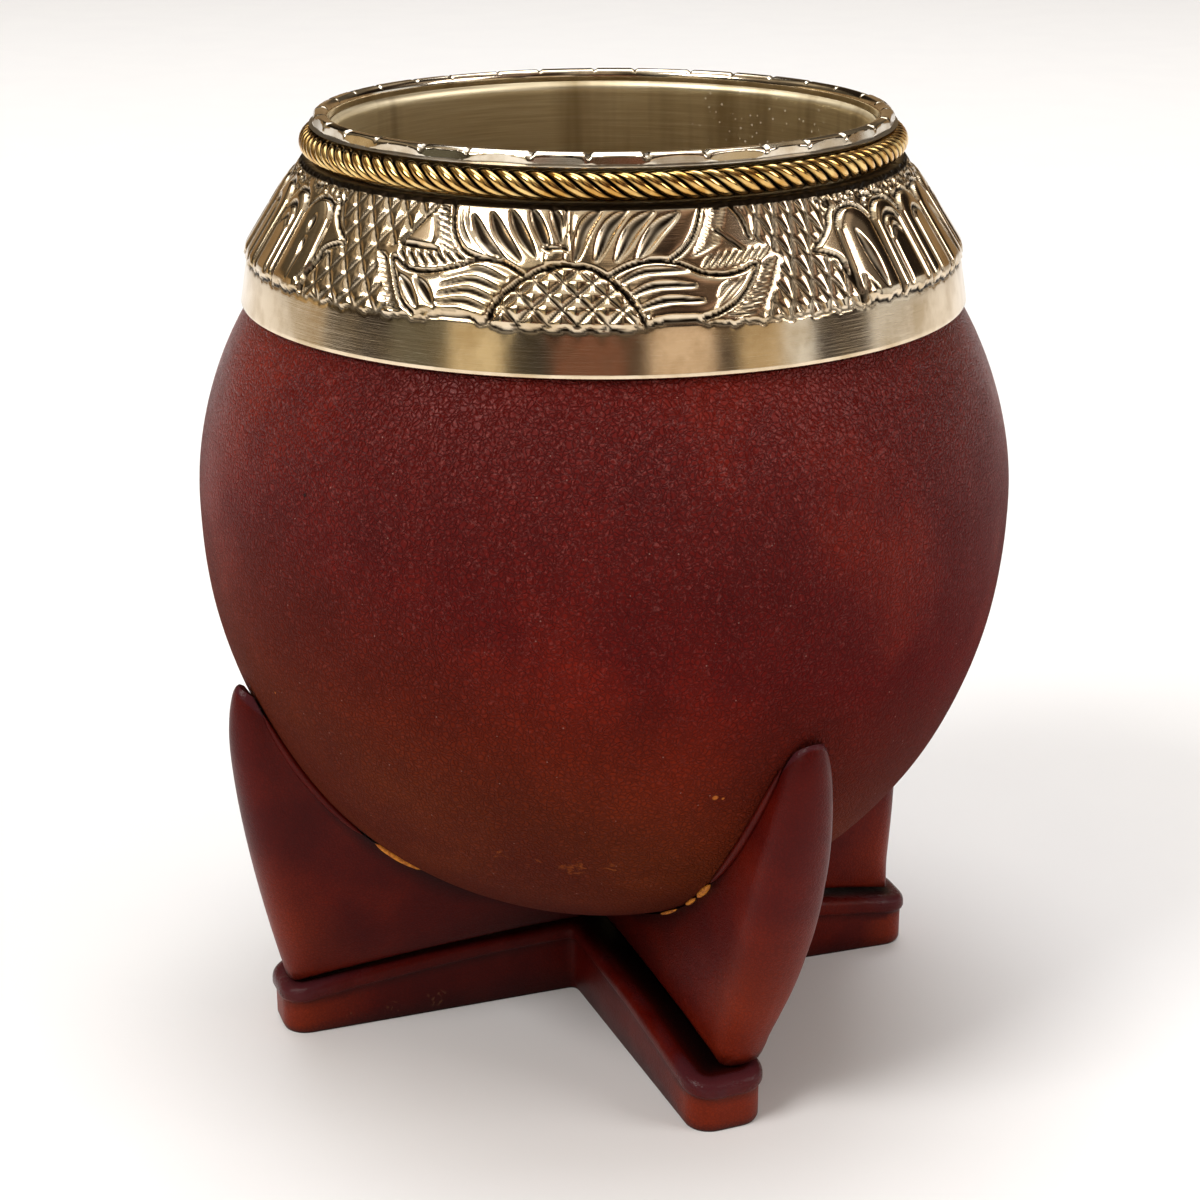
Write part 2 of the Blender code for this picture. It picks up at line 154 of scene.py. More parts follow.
bpy.context.scene.view_settings.view_transform = "Standard"
world = bpy.data.worlds.new("studio")
bpy.context.scene.world = world
world.use_nodes = True
tree = world.node_tree
way = add(tree, "TexCoord", output="Generated")
parts = add(tree, "SeparateXYZ", (way,)).node.outputs
around = add(tree, "Math", (parts[1], parts[0]), operation="ARCTAN2")
around = add(tree, "Math", (around, 1.0 / math.tau, 0.5), operation="MULTIPLY_ADD")
horizon = add(tree, "ValToRGB", {"Fac": around}, stops=cards(HORIZON, CARD_EDGE))
overhead = add(tree, "ValToRGB", {"Fac": around}, stops=cards(OVERHEAD, 2 * CARD_EDGE))
level = add(tree, "Mix", (add(tree, "MapRange", (parts[2], 0.22, 0.30)), horizon, overhead), data_type="RGBA")
whole_sky = add(tree, "Mix",
                (1.0, level, add(tree, "ValToRGB", {"Fac": parts[2]}, stops=cards(HEIGHTS, 5 * CARD_EDGE))),
                data_type="RGBA", blend_type="MULTIPLY")
whole_sky = add(tree, "Mix", (add(tree, "MapRange", (parts[2], 0.84, 0.92)), whole_sky, "#f4eee4"),
                data_type="RGBA")
background = tree.nodes["Background"]
tree.links.new(whole_sky, background.inputs["Color"])
background.inputs["Strength"].default_value = SKY_STRENGTH


def soft_light(name, place, aim, size, power, colour):
    """A square area light at place, turned towards aim."""
    data = bpy.data.lights.new(name, "AREA")
    data.size = size
    data.energy = power
    data.color = linear(colour)[:3]
    made = bpy.data.objects.new(name, data)
    made.location = place
    made.rotation_euler = (Vector(aim) - Vector(place)).to_track_quat("-Z", "Y").to_euler()
    bpy.context.collection.objects.link(made)
    return made


CUP_MIDDLE = (0.0, 0.0, 0.06)
soft_light("key_light", (-1.30, -0.95, 1.60), CUP_MIDDLE, 0.9, 30.0, "#fffaf4")
soft_light("side_light", (1.70, -0.55, 1.10), CUP_MIDDLE, 0.9, 15.0, "#fff8f2")
soft_light("top_light", (0.0, 0.60, 2.20), CUP_MIDDLE, 1.6, 30.0, "#ffffff")
print("three soft lights")

# %% [markdown]
# The floor is a plain pale sheet, wide enough to fill the view.

# %% The floor
FLOOR_HALF = 8.0

builder = bmesh.new()
bmesh.ops.create_grid(builder, x_segments=1, y_segments=1, size=FLOOR_HALF)
floor_mesh = bpy.data.meshes.new("floor")
builder.to_mesh(floor_mesh)
builder.free()
floor = bpy.data.objects.new("floor", floor_mesh)
bpy.context.collection.objects.link(floor)
pale_paper, tree, shader = start_material("pale_paper_sheet", Roughness=0.9)
paper_noise = add(tree, "TexNoise", {"Scale": 40.0, "Vector": add(tree, "TexCoord", output="Object")})
tree.links.new(add(tree, "Mix", (paper_noise, "#eff1f5", "#f3f5f8"), data_type="RGBA"),
               shader.inputs["Base Color"])
floor_mesh.materials.append(pale_paper)
print("floor", 2 * FLOOR_HALF, "m wide")

# %% [markdown]
# Most of the cup is turned work, so the first modelling helper spins a profile of (radius, height) points
# about the cup's axis. A full turn uses use_merge, which closes the seam. The second helper finishes a
# bmesh: it recalculates the normals, smooths the faces and puts the piece on the body that carries it.

# %% Helpers for pieces


def spin_profile(profile, steps, closed=True, twist=0.0):
    """Turn (radius, height) points about Z. A profile that isn't closed begins or ends on the axis.

    A spin gets slow with many steps, so a part of the turn is spun and then doubled up to the whole.
    A twist turns each point of the profile a little further than the one before, for a twisted ring.
    """
    made = bmesh.new()
    points = []
    for index, (radius, height) in enumerate(profile):
        turn_on = twist * index / (len(profile) - 1)
        points.append(made.verts.new((radius * math.cos(turn_on), radius * math.sin(turn_on), height)))
    pairs = list(zip(points, points[1:]))
    if closed:
        pairs.append((points[-1], points[0]))
    edges = [made.edges.new(pair) for pair in pairs]
    part = steps
    while part % 2 == 0 and part > 48:
        part //= 2
    angle = math.tau * part / steps
    bmesh.ops.spin(made, geom=points + edges, cent=(0, 0, 0), axis=(0, 0, 1), angle=angle, steps=part,
                   use_merge=part == steps)
    while part < steps:
        whole = made.verts[:] + made.edges[:] + made.faces[:]
        copy = bmesh.ops.duplicate(made, geom=whole)["geom"]
        bmesh.ops.rotate(made, cent=(0, 0, 0), matrix=Matrix.Rotation(angle, 3, "Z"),
                         verts=[item for item in copy if isinstance(item, bmesh.types.BMVert)])
        part *= 2
        angle *= 2
    bmesh.ops.remove_doubles(made, verts=made.verts, dist=0.000001)
    return made


def finish_piece(name, builder, look, nodes, sharp=50.0, tidy=True):
    """Make the object from a bmesh, outward and smooth, and let it stand for its CAD nodes."""
    if tidy:
        bmesh.ops.recalc_face_normals(builder, faces=builder.faces)
    mesh = bpy.data.meshes.new(name)
    builder.to_mesh(mesh)
    builder.free()
    mesh.shade_smooth()
    mesh.set_sharp_from_angle(angle=math.radians(sharp))
    mesh.materials.append(look)
    made = bpy.data.objects.new(name, mesh)
    bpy.context.collection.objects.link(made)
    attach(made, "root")
    if nodes:
        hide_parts(*nodes)
    print(name, len(mesh.polygons), "faces")
    return made


def arc(centre, radius, first, last, count):
    """Profile points along an arc; angles in degrees, 0 outward and 90 up."""
    turns = [math.radians(first + (last - first) * index / (count - 1)) for index in range(count)]
    return [(centre[0] + radius * math.cos(angle), centre[1] + radius * math.sin(angle)) for angle in turns]


def polar(radius, azimuth, sideways=0.0, height=0.0):
    """World point from an arm's own frame: out along its azimuth, then sideways to its left."""
    out = math.radians(azimuth)
    return Vector((radius * math.cos(out) - sideways * math.sin(out),
                   radius * math.sin(out) + sideways * math.cos(out), height))


# %% [markdown]
# All the leather here is vegetable-tanned cowhide, soaked, pulled tight over the form, dyed and waxed.
# Wetting shrinks the grain into small long pads with fine creases between them. Cells whose places are
# first pushed about by a noise make such pads, and the distance to a cell's edge says where the creases are.

# %% The leather's grain
MM = 0.001


def hide_grain(tree, place, pad_mm):
    """Height of a creased hide: 0 in a crease and 1 on the pad between creases, with fine pores on top."""
    push = add(tree, "TexNoise", {"Vector": place, "Scale": 0.45 / (pad_mm * MM), "Detail": 1.0},
               output="Color")
    pushed = add(tree, "VectorMath", {0: push, 1: (2.2 * pad_mm * MM,) * 3, 2: place},
                 operation="MULTIPLY_ADD")
    cells = add(tree, "TexVoronoi", {"Vector": pushed, "Scale": 1.0 / (pad_mm * MM)},
                feature="DISTANCE_TO_EDGE")
    pads = add(tree, "MapRange", (cells, 0.0, 0.22))
    pores = add(tree, "TexNoise", {"Vector": place, "Scale": 1.6 / (pad_mm * MM), "Detail": 3.0,
                                             "Roughness": 0.6})
    return pads, add(tree, "Math", (pores, 0.35, add(tree, "Math", (pads, 0.65), operation="MULTIPLY")),
                     operation="MULTIPLY_ADD")


def clouds(tree, place, wide_mm, small_mm):
    """Soft clouds of two sizes, for dye that soaked in unevenly."""
    wide = add(tree, "TexNoise", {"Vector": place, "Scale": 1.0 / (wide_mm * MM), "Detail": 2.0,
                                            "Roughness": 0.5})
    small = add(tree, "TexNoise", {"Vector": place, "Scale": 1.0 / (small_mm * MM), "Detail": 4.0,
                                             "Roughness": 0.6})
    return add(tree, "Math", (wide, 0.7, add(tree, "Math", (small, 0.3), operation="MULTIPLY")),
               operation="MULTIPLY_ADD"), small


def mark(tree, place, centre_mm, radius_mm, wobble):
    """1 at a mark on the leather and 0 away from it, with a ragged edge."""
    centre = tuple(value * MM for value in centre_mm)
    apart = add(tree, "VectorMath", {0: place, 1: centre}, operation="DISTANCE")
    ragged = add(tree, "Math", (wobble, 1.6 * radius_mm * MM, apart), operation="MULTIPLY_ADD")
    return add(tree, "MapRange", (ragged, 1.6 * radius_mm * MM, 1.2 * radius_mm * MM))


def scuffed(tree, place, colour, scuffs, wobble, tint):
    """The colour with broken scuffs over it, where the dye is rubbed through in specks."""
    fine = add(tree, "TexNoise", {"Vector": place, "Scale": 1.0 / (1.1 * MM), "Detail": 4.0,
                                            "Distortion": 1.2})
    for centre_mm, radius_mm in scuffs:
        area = add(tree, "Math",
                   (mark(tree, place, centre_mm, radius_mm, wobble),
                    add(tree, "MapRange", (fine, 0.55, 0.64, 0.0, 0.55))), operation="MULTIPLY")
        colour = add(tree, "Mix", (area, colour, tint), data_type="RGBA")
    return colour


# %% [markdown]
# The gourd's skin is oxblood. The dye is a wine red above and browner towards the bottom and the left side,
# and darker still at the very bottom. Near the top the pads and small flecks are painted lighter as
# highlights, and the creases everywhere are painted darker as shade. Small marks tell of use: two nicks, a
# tan scuff, and pale rubbed places low down, where the raw hide under the dye shows.

# %% The gourd's leather
PAD_MM = 0.55
TAN_MARKS = (((11.8, -41.9, 43.4), 0.45), ((12.7, -41.6, 43.1), 0.25), ((-36.7, -27.2, 49.6), 0.20))
SCUFFS = (((-11.5, -36.8, 34.2), 1.5), ((-8.0, -37.2, 33.6), 1.3), ((-3.4, -37.4, 33.0), 2.2),
          ((1.0, -37.6, 33.1), 1.8))
DARK_MARKS = (((-31.4, -34.7, 75.0), 0.35), ((33.7, -33.7, 61.1), 0.30), ((33.6, -33.9, 60.4), 0.22))

oxblood_cowhide, tree, shader = start_material("oxblood_cowhide")
shader.inputs["Specular IOR Level"].default_value = 0.09
place = add(tree, "TexCoord", output="Object")
across, _, height_up = add(tree, "SeparateXYZ", (place,)).node.outputs
tone, small_tone = clouds(tree, place, 30.0, 7.0)
pads, hide_height = hide_grain(tree, place, PAD_MM)
wine = add(tree, "ValToRGB", {"Fac": tone}, stops=((0.38, "#520806"), (0.50, "#5c0b06"), (0.62, "#701505")))
brown = add(tree, "ValToRGB", {"Fac": tone}, stops=((0.38, "#541804"), (0.50, "#5c1f05"), (0.62, "#692809")))
lowness = add(tree, "Math",
              (tone, 0.03, add(tree, "Math", (across, 0.28, height_up), operation="MULTIPLY_ADD")),
              operation="MULTIPLY_ADD")
colour = add(tree, "Mix", (add(tree, "MapRange", (lowness, 0.076, 0.052)), wine, brown), data_type="RGBA")
colour = add(tree, "Mix", (add(tree, "MapRange", (height_up, 0.030, 0.014)), colour, "#4a0f05"),
             data_type="RGBA")
# Painted highlight: the pads are lightened towards the top, standing for the light that catches the grain
# there.
painted_pad_highlight = add(tree, "Math", (pads, add(tree, "MapRange", (height_up, 0.068, 0.086, 0.0, 0.14))),
            operation="MULTIPLY")
colour = add(tree, "Mix", (painted_pad_highlight, colour, "#8c4a48"), data_type="RGBA")
# Painted highlights: small light flecks near the top stand for the sparkle of the grain in the light.
painted_glints = add(tree, "TexNoise", {"Vector": place, "Scale": 1.0 / (0.45 * MM), "Detail": 2.0,
                                          "Distortion": 1.5})
painted_glints = add(tree, "Math",
             (add(tree, "MapRange", (painted_glints, 0.56, 0.68)),
              add(tree, "MapRange", (height_up, 0.050, 0.088, 0.10, 0.55))), operation="MULTIPLY")
colour = add(tree, "Mix", (painted_glints, colour, "#92504c"), data_type="RGBA")
# Painted shade: the creases between the pads are darkened.
colour = add(tree, "Mix", (add(tree, "MapRange", (pads, 0.0, 1.0, 0.34, 0.0)), colour, "#1a0303"),
             data_type="RGBA")
specks = add(tree, "TexVoronoi", {"Vector": place, "Scale": 1.0 / (1.9 * MM)})
colour = add(tree, "Mix", (add(tree, "MapRange", (specks, 0.055, 0.030, 0.0, 0.45)), colour, "#b98f84"),
             data_type="RGBA")
colour = scuffed(tree, place, colour, SCUFFS, small_tone, "#a0521f")
for centre_mm, radius_mm in TAN_MARKS:
    colour = add(tree, "Mix", (mark(tree, place, centre_mm, radius_mm, small_tone), colour, "#b8682c"),
                 data_type="RGBA")
for centre_mm, radius_mm in DARK_MARKS:
    colour = add(tree, "Mix", (mark(tree, place, centre_mm, radius_mm, small_tone), colour, "#150504"),
                 data_type="RGBA")
bump = add(tree, "Bump", {"Height": hide_height, "Strength": 1.0, "Distance": 0.170 * MM})
tree.links.new(bump, shader.inputs["Normal"])
tree.links.new(colour, shader.inputs["Base Color"])
polish = add(tree, "Math", (tone, 0.03, height_up), operation="MULTIPLY_ADD")
tree.links.new(add(tree, "MapRange", (polish, 0.068, 0.098, 0.85, 0.30)), shader.inputs["Roughness"])
print("pads", PAD_MM, "mm wide,", len(TAN_MARKS) + len(DARK_MARKS), "marks")

# %% [markdown]
# The stand's leather is the same hide dyed red brown, thinner and pressed smoother. Three attributes, which
# its pieces carry, paint wear and light into it. One darkens the corners, the joins with the gourd and the
# ledge under the fins as painted shade. One gives the lips and tips a dull purple shine: they are rubbed, and
# the shine is partly a painted sheen. The last lightens the ends of the arms and the low outer edge of the
# fins as a painted highlight.

# %% The stand's leather
STAND_PAD_MM = 0.38
STAND_SCUFFS = (((-26.0, -12.5, 1.3), 1.5), ((-20.9, -10.6, 1.9), 1.8), ((-31.5, -14.4, 1.4), 1.0))

red_brown_cowhide, tree, shader = start_material("red_brown_cowhide")
shader.inputs["Specular IOR Level"].default_value = 0.11
place = add(tree, "TexCoord", output="Object")
tone, small_tone = clouds(tree, place, 16.0, 4.0)
pads, hide_height = hide_grain(tree, place, STAND_PAD_MM)
painted_shade = add(tree, "Attribute", output="Fac", attribute_name="painted_shade")
wear_and_sheen = add(tree, "Attribute", output="Fac", attribute_name="wear_and_sheen")
painted_highlight = add(tree, "Attribute", output="Fac", attribute_name="painted_highlight")
colour = add(tree, "ValToRGB", {"Fac": tone}, stops=((0.36, "#480704"), (0.50, "#520b04"), (0.64, "#601205")))
# Painted highlight: the lit ends of the arms and the low outer edge of the fins are lightened to orange
# brown.
colour = add(tree, "Mix", (painted_highlight, colour, "#8e3010"), data_type="RGBA")
# Painted shade: the creases between the pads are darkened.
colour = add(tree, "Mix", (add(tree, "MapRange", (pads, 0.0, 1.0, 0.35, 0.0)), colour, "#260505"),
             data_type="RGBA")
# Worn lips and tips in dull purple: partly rubbed wear and partly a painted sheen.
ragged = add(tree, "MapRange",
             (add(tree, "Math", (small_tone, 0.8, wear_and_sheen), operation="MULTIPLY_ADD"), 0.75, 1.15))
colour = add(tree, "Mix", (ragged, colour, "#4a1f24"), data_type="RGBA")
colour = scuffed(tree, place, colour, STAND_SCUFFS, small_tone, "#86583a")
# Painted shade: the corners, the joins with the gourd, the ledge under the fins and the foot on the floor are
# darkened.
colour = add(tree, "Mix", (painted_shade, colour, "#0c0303"), data_type="RGBA")
bump = add(tree, "Bump", {"Height": hide_height, "Strength": 1.0, "Distance": 0.024 * MM})
tree.links.new(bump, shader.inputs["Normal"])
tree.links.new(colour, shader.inputs["Base Color"])
shine = add(tree, "MapRange", (tone, 0.35, 0.65, 0.42, 0.32))
tree.links.new(add(tree, "Math", (ragged, -0.20, shine), operation="MULTIPLY_ADD"),
               shader.inputs["Roughness"])
print("stand pads", STAND_PAD_MM, "mm wide")

# %% [markdown]
# The gourd is half an ellipse above its widest circle and a longer, slightly fuller half below. The skin
# is one turned wall, thick enough to show its cut edge under the collar. A low noise then moves its points
# by up to a tenth of a millimetre, because a calabash is grown and not turned, and its highlights wander.

# %% The leather skin of the gourd
GOURD_RADIUS = 0.0478
GOURD_WAIST_Z = 0.066
GOURD_RISE = 0.0445
GOURD_DROP = 0.0524
GOURD_FULLNESS = 2.1
LEATHER_THICKNESS = 0.0016
LEATHER_TOP_Z = 0.0889
SKIN_STEPS = 192
SKIN_POINTS = 84


def gourd_height(angle, inset=0.0):
    """Height where the radius is the widest one times cos(angle); minus is below the waist."""
    if angle > 0.0:
        return GOURD_WAIST_Z + (GOURD_RISE - inset) * math.sin(angle)
    return GOURD_WAIST_Z - (GOURD_DROP - inset) * (-math.sin(angle)) ** (2.0 / GOURD_FULLNESS)


def gourd_radius(height, inset=0.0):
    """Radius of the gourd, drawn in by inset, at a height."""
    above = height > GOURD_WAIST_Z
    reach = (GOURD_RISE if above else GOURD_DROP) - inset
    share = min(1.0, abs(height - GOURD_WAIST_Z) / reach)
    return (GOURD_RADIUS - inset) * math.sqrt(1.0 - share ** (2.0 if above else GOURD_FULLNESS))


def gourd_curve(inset, top_z, points):
    """Profile points from top_z down to the pole."""
    top = math.asin((top_z - GOURD_WAIST_Z) / (GOURD_RISE - inset))
    angles = [top + (-math.pi / 2 - top) * index / (points - 1) for index in range(points - 1)]
    curve = [((GOURD_RADIUS - inset) * math.cos(angle), gourd_height(angle, inset)) for angle in angles]
    return curve + [(0.0, GOURD_WAIST_Z - GOURD_DROP + inset)]


def roughen(builder, amount, size, inside=None):
    """Move each point along its normal by a soft noise of the given amount and feature size."""
    builder.normal_update()
    moves = [(vert, vert.normal * (noise.noise(vert.co / size) * amount)) for vert in builder.verts
             if inside is None or inside(vert.co)]
    for vert, move in moves:
        vert.co += move


outer = gourd_curve(0.0, LEATHER_TOP_Z, SKIN_POINTS)
inner = gourd_curve(LEATHER_THICKNESS, LEATHER_TOP_Z, SKIN_POINTS // 3)
builder = spin_profile(outer[::-1] + inner, SKIN_STEPS, closed=False)
bmesh.ops.recalc_face_normals(builder, faces=builder.faces)
roughen(builder, 0.00009, 0.013,
        lambda point: math.hypot(point.x, point.y) > 0.99 * gourd_radius(point.z, 0.0005))
gourd_leather = finish_piece("gourd_leather", builder, oxblood_cowhide, ["leather_cover"])

# %% [markdown]
# Inside the skin is the calabash itself, scraped clean and dried: a pale brown, dry, slightly fibrous wall.
# It is seen only from straight above, so its finish stays plain. Its grain runs up and down the fruit.

# %% The calabash
SHELL_THICKNESS = 0.005
GAP = 0.0003
LINER_RADIUS = 0.0305
LINER_WALL = 0.0007
NECK_TOP_Z = 0.1018
NECK_TOP_RADIUS = 0.0344
SHOULDER_Z = 0.0949
SHELL_STEPS = 128
SHELL_POINTS = 48

dried_calabash, tree, shader = start_material("dried_calabash_rind", Roughness=0.78)
place = add(tree, "TexCoord", output="Object")
drawn = add(tree, "Mapping", {"Vector": place, "Scale": (1.0, 1.0, 0.25)})
fibres = add(tree, "TexNoise", {"Vector": drawn, "Scale": 1.0 / (1.2 * MM), "Detail": 5.0,
                                          "Roughness": 0.6})
stains = add(tree, "TexNoise", {"Vector": place, "Scale": 1.0 / (14.0 * MM), "Detail": 3.0})
tone = add(tree, "Math", (fibres, 0.4, add(tree, "Math", (stains, 0.6), operation="MULTIPLY")),
           operation="MULTIPLY_ADD")
tree.links.new(add(tree, "ValToRGB", {"Fac": tone},
                   stops=((0.36, "#6d4a26"), (0.50, "#94683a"), (0.64, "#b58b57"))),
               shader.inputs["Base Color"])
bump = add(tree, "Bump", {"Height": fibres, "Strength": 0.6, "Distance": 0.10 * MM})
tree.links.new(bump, shader.inputs["Normal"])

outer_inset = LEATHER_THICKNESS + GAP
inner_inset = outer_inset + SHELL_THICKNESS
neck_inner = LINER_RADIUS + LINER_WALL + GAP
neck = [(NECK_TOP_RADIUS, NECK_TOP_Z), (gourd_radius(LEATHER_TOP_Z, outer_inset), SHOULDER_Z)]
outer = neck + gourd_curve(outer_inset, LEATHER_TOP_Z, SHELL_POINTS)
inner_top = math.acos(neck_inner / (GOURD_RADIUS - inner_inset))
inner = [(neck_inner, NECK_TOP_Z)] + gourd_curve(inner_inset, gourd_height(inner_top, inner_inset),
                                                 SHELL_POINTS)
calabash = finish_piece("calabash_wall", spin_profile(outer[::-1] + inner, SHELL_STEPS, closed=False),
                        dried_calabash, ["gourd_shell"])

# %% [markdown]
# The collar is nickel silver sheet, spun on a lathe and then chased: the maker drives small punches and
# gravers into it over a bed of pitch. The pattern is drawn here the same way, as strokes on an unrolled
# strip. Across is the azimuth from a flower's middle in degrees, and down is millimetres from the top edge.

# %% The strip that the pattern is chased into
CONE_TOP_Z = 0.1053
CONE_TOP_RADIUS = 0.0341
SHOULDER_RADIUS = 0.0408
BAND_BOTTOM_Z = 0.0892
BAND_BOTTOM_RADIUS = 0.0418
FLOWER_AZIMUTH = -95.4
COLLAR_STEPS = 1216
CONE_MM = 1000.0 * math.hypot(CONE_TOP_Z - SHOULDER_Z, SHOULDER_RADIUS - CONE_TOP_RADIUS)
BAND_MM = 1000.0 * (SHOULDER_Z - BAND_BOTTOM_Z)
CHASED_MM = 13.8
ROW_MM = 0.195
MM_PER_DEGREE = math.radians(1.0) * 37.5

chased_rows = int(round(CHASED_MM / ROW_MM)) + 1
strip_down = np.arange(chased_rows) * ROW_MM
strip_azimuth = np.arange(COLLAR_STEPS) * 360.0 / COLLAR_STEPS - 180.0
relief = np.zeros((chased_rows, COLLAR_STEPS))
ink = np.zeros_like(relief)


def window(centre, corners, margin):
    """Rows and columns of the strip round some points, with the points' own coordinates in millimetres."""
    across = [point[0] for point in corners]
    down = [point[1] for point in corners]
    step = 360.0 / COLLAR_STEPS
    reach = margin / MM_PER_DEGREE
    first = int(math.floor((centre + min(across) - reach + 180.0) / step))
    last = int(math.ceil((centre + max(across) + reach + 180.0) / step))
    top = max(0, int((min(down) - margin) / ROW_MM))
    bottom = min(chased_rows, int((max(down) + margin) / ROW_MM) + 2)
    columns = np.arange(first, last + 1)
    rows = np.arange(top, bottom)
    local = (columns * step - 180.0 - centre) * MM_PER_DEGREE
    x, y = np.meshgrid(local, rows * ROW_MM)
    return np.ix_(rows, columns % COLLAR_STEPS), x, y


def smooth_path(points, count=10):
    """Points along a Catmull-Rom curve through control points, in millimetres on the strip."""
    knots = np.array(points, float) * (MM_PER_DEGREE, 1.0)
    padded = np.vstack([2 * knots[0] - knots[1], knots, 2 * knots[-1] - knots[-2]])
    share = np.linspace(0.0, 1.0, count, endpoint=False)[:, None]
    path = []
    for before, start, end, after in zip(padded, padded[1:], padded[2:], padded[3:]):
        path.append(0.5 * (2 * start + (end - before) * share + (2 * before - 5 * start + 4 * end - after)
                           * share ** 2 + (3 * start - before - 3 * end + after) * share ** 3))
    return np.vstack(path + [knots[-1:]])


def nearest(path, x, y):
    """Distance from every place to a path, and how far along the path its nearest point is."""
    best = np.full(x.shape, 1e9)
    along = np.zeros(x.shape)
    count = len(path) - 1
    for index, (start, end) in enumerate(zip(path, path[1:])):
        step = end - start
        length = max(1e-9, float(step @ step))
        share = np.clip(((x - start[0]) * step[0] + (y - start[1]) * step[1]) / length, 0.0, 1.0)
        apart = np.hypot(x - start[0] - share * step[0], y - start[1] - share * step[1])
        closer = apart < best
        best = np.where(closer, apart, best)
        along = np.where(closer, (index + share) / count, along)
    return best, along


def stroke(centre, points, width, depth, taper=0.0):
    """Cut a groove along a curve. With taper 1 it is a lens, thin at both ends; with 0 it is even."""
    place, x, y = window(centre, points, width)
    apart, along = nearest(smooth_path(points), x, y)
    local = width * (1.0 - taper * (2.0 * along - 1.0) ** 2)
    cut = np.clip(1.0 - (apart / np.maximum(local, 0.05)) ** 2, 0.0, 1.0) * (local / width)
    relief[place] -= depth * cut


def fan(centre, first, last, count, width, depth, taper=1.0):
    """A row of strokes that changes evenly from the first one to the last."""
    first, last = np.array(first, float), np.array(last, float)
    for index in range(count):
        share = index / max(1, count - 1)
        stroke(centre, (first + (last - first) * share).tolist(), width, depth, taper)


def inside_of(outline, x, y):
    """True for the places inside a closed outline."""
    within = np.zeros(x.shape, bool)
    for (x0, y0), (x1, y1) in zip(outline, np.roll(outline, -1, axis=0)):
        crosses = (y0 > y) != (y1 > y)
        slope = (x1 - x0) * (y - y0) / (y1 - y0 if y1 != y0 else 1e-9) + x0
        within ^= crosses & (x < slope)
    return within


def cushion(centre, points, height, soft):
    """Raise the area inside a closed curve, rounded off over soft millimetres at its edge."""
    place, x, y = window(centre, points, 0.3)
    outline = smooth_path(list(points) + [points[0]])
    within = inside_of(outline, x, y)
    apart, _ = nearest(outline, x, y)
    edge = np.clip(apart / soft, 0.0, 1.0)
    relief[place] += np.where(within, height * np.sqrt(1.0 - (1.0 - edge) ** 2), 0.0)
    return place, x, y, within


print("strip", relief.shape, "cone", round(CONE_MM, 2), "mm")

# %% [markdown]
# The ground between the flowers and the palmettes is cross-hatched. Two families of slanting cuts leave
# small pyramids between them, so the height is the distance to the nearest cut of either family.

# %% Cross-hatching


def cells(first, second):
    """Height of the metal left between two families of cuts: steep at a cut, then a low pyramid."""
    low = np.minimum(first, second)
    return 0.45 * np.minimum(1.0, 3.2 * low) + 0.55 * low


def crosshatch(centre, points, start, pitch, slopes, height):
    """Pyramids inside an outline: pitch in degrees, slopes in degrees across per millimetre down.

    Two cuts cross at the start, a place on the strip.
    """
    place, x, y, within = cushion(centre, points, 0.0, 1.0)
    tops = []
    for slope, spacing in zip(slopes, pitch):
        phase = (x / MM_PER_DEGREE - start[0] - slope * (y - start[1])) / spacing
        tops.append(np.abs(phase - np.round(phase)) * 2.0)
    relief[place] += np.where(within, height * (cells(*tops) - 0.78), 0.0)
    cuts = np.maximum(np.clip(1.5 - tops[0] / 0.14, 0.0, 1.0), 0.6 * np.clip(1.4 - tops[1] / 0.14, 0.0, 1.0))
    ink[place] = np.maximum(ink[place], np.where(within, cuts, 0.0))


FLOWERS = (0.0, 180.0)
for flower in FLOWERS:
    crosshatch(flower,
               ((-47.5, -0.3), (-23.5, -0.3), (-24.6, 1.4), (-28.8, 5.2), (-33.2, 6.4), (-31.0, 9.0),
                (-28.5, 12.7), (-38.0, 12.9), (-48.0, 12.7), (-45.5, 8.6), (-41.0, 6.2), (-46.5, 2.4)),
               (-37.8, 2.1), (4.05, 4.05), (-1.09, 1.10), 0.36)
    crosshatch(flower, ((28.5, -0.3), (47.5, -0.3), (47.0, 2.4), (41.4, 6.2), (46.0, 8.2), (49.5, 12.7),
                        (30.0, 12.8), (32.0, 9.5), (34.0, 6.4), (31.0, 4.6), (29.5, 2.0)),
               (35.0, 2.0), (3.4, 3.2), (-0.46, 0.95), 0.33)

# %% [markdown]
# A flower is a domed heart with its own hatching, one broad petal on each side, and two leaves that fan
# out above it. Each form is raised first as a cushion, and then its grooves are cut as fans of strokes.

# %% The flowers
HEART = ((-11.4, 12.9), (-10.2, 10.6), (-7.6, 8.6), (-4.0, 7.0), (0.0, 6.5), (3.8, 6.9), (7.0, 8.4),
         (9.6, 10.5), (11.4, 12.9))
PETAL_LEFT = ((-8.0, 8.5), (-6.9, 7.7), (-10.0, 6.6), (-14.0, 6.3), (-18.0, 7.3), (-22.0, 8.0), (-26.0, 7.9),
              (-29.4, 7.0), (-27.6, 9.2), (-25.6, 11.2), (-23.4, 12.5), (-20.0, 12.0), (-16.0, 11.9),
              (-11.6, 12.5), (-10.3, 10.4))
PETAL_RIGHT = ((8.3, 9.0), (6.2, 7.8), (9.0, 6.7), (13.0, 6.1), (17.0, 6.5), (20.5, 7.6), (24.0, 7.9),
               (27.0, 7.6), (29.6, 7.0), (28.0, 8.6), (25.5, 10.4), (22.5, 11.6), (19.8, 12.3), (15.0, 12.1),
               (11.4, 12.5), (10.2, 10.8))
OUTLINE_WIDTH = 0.28
OUTLINE_DEPTH = 0.46

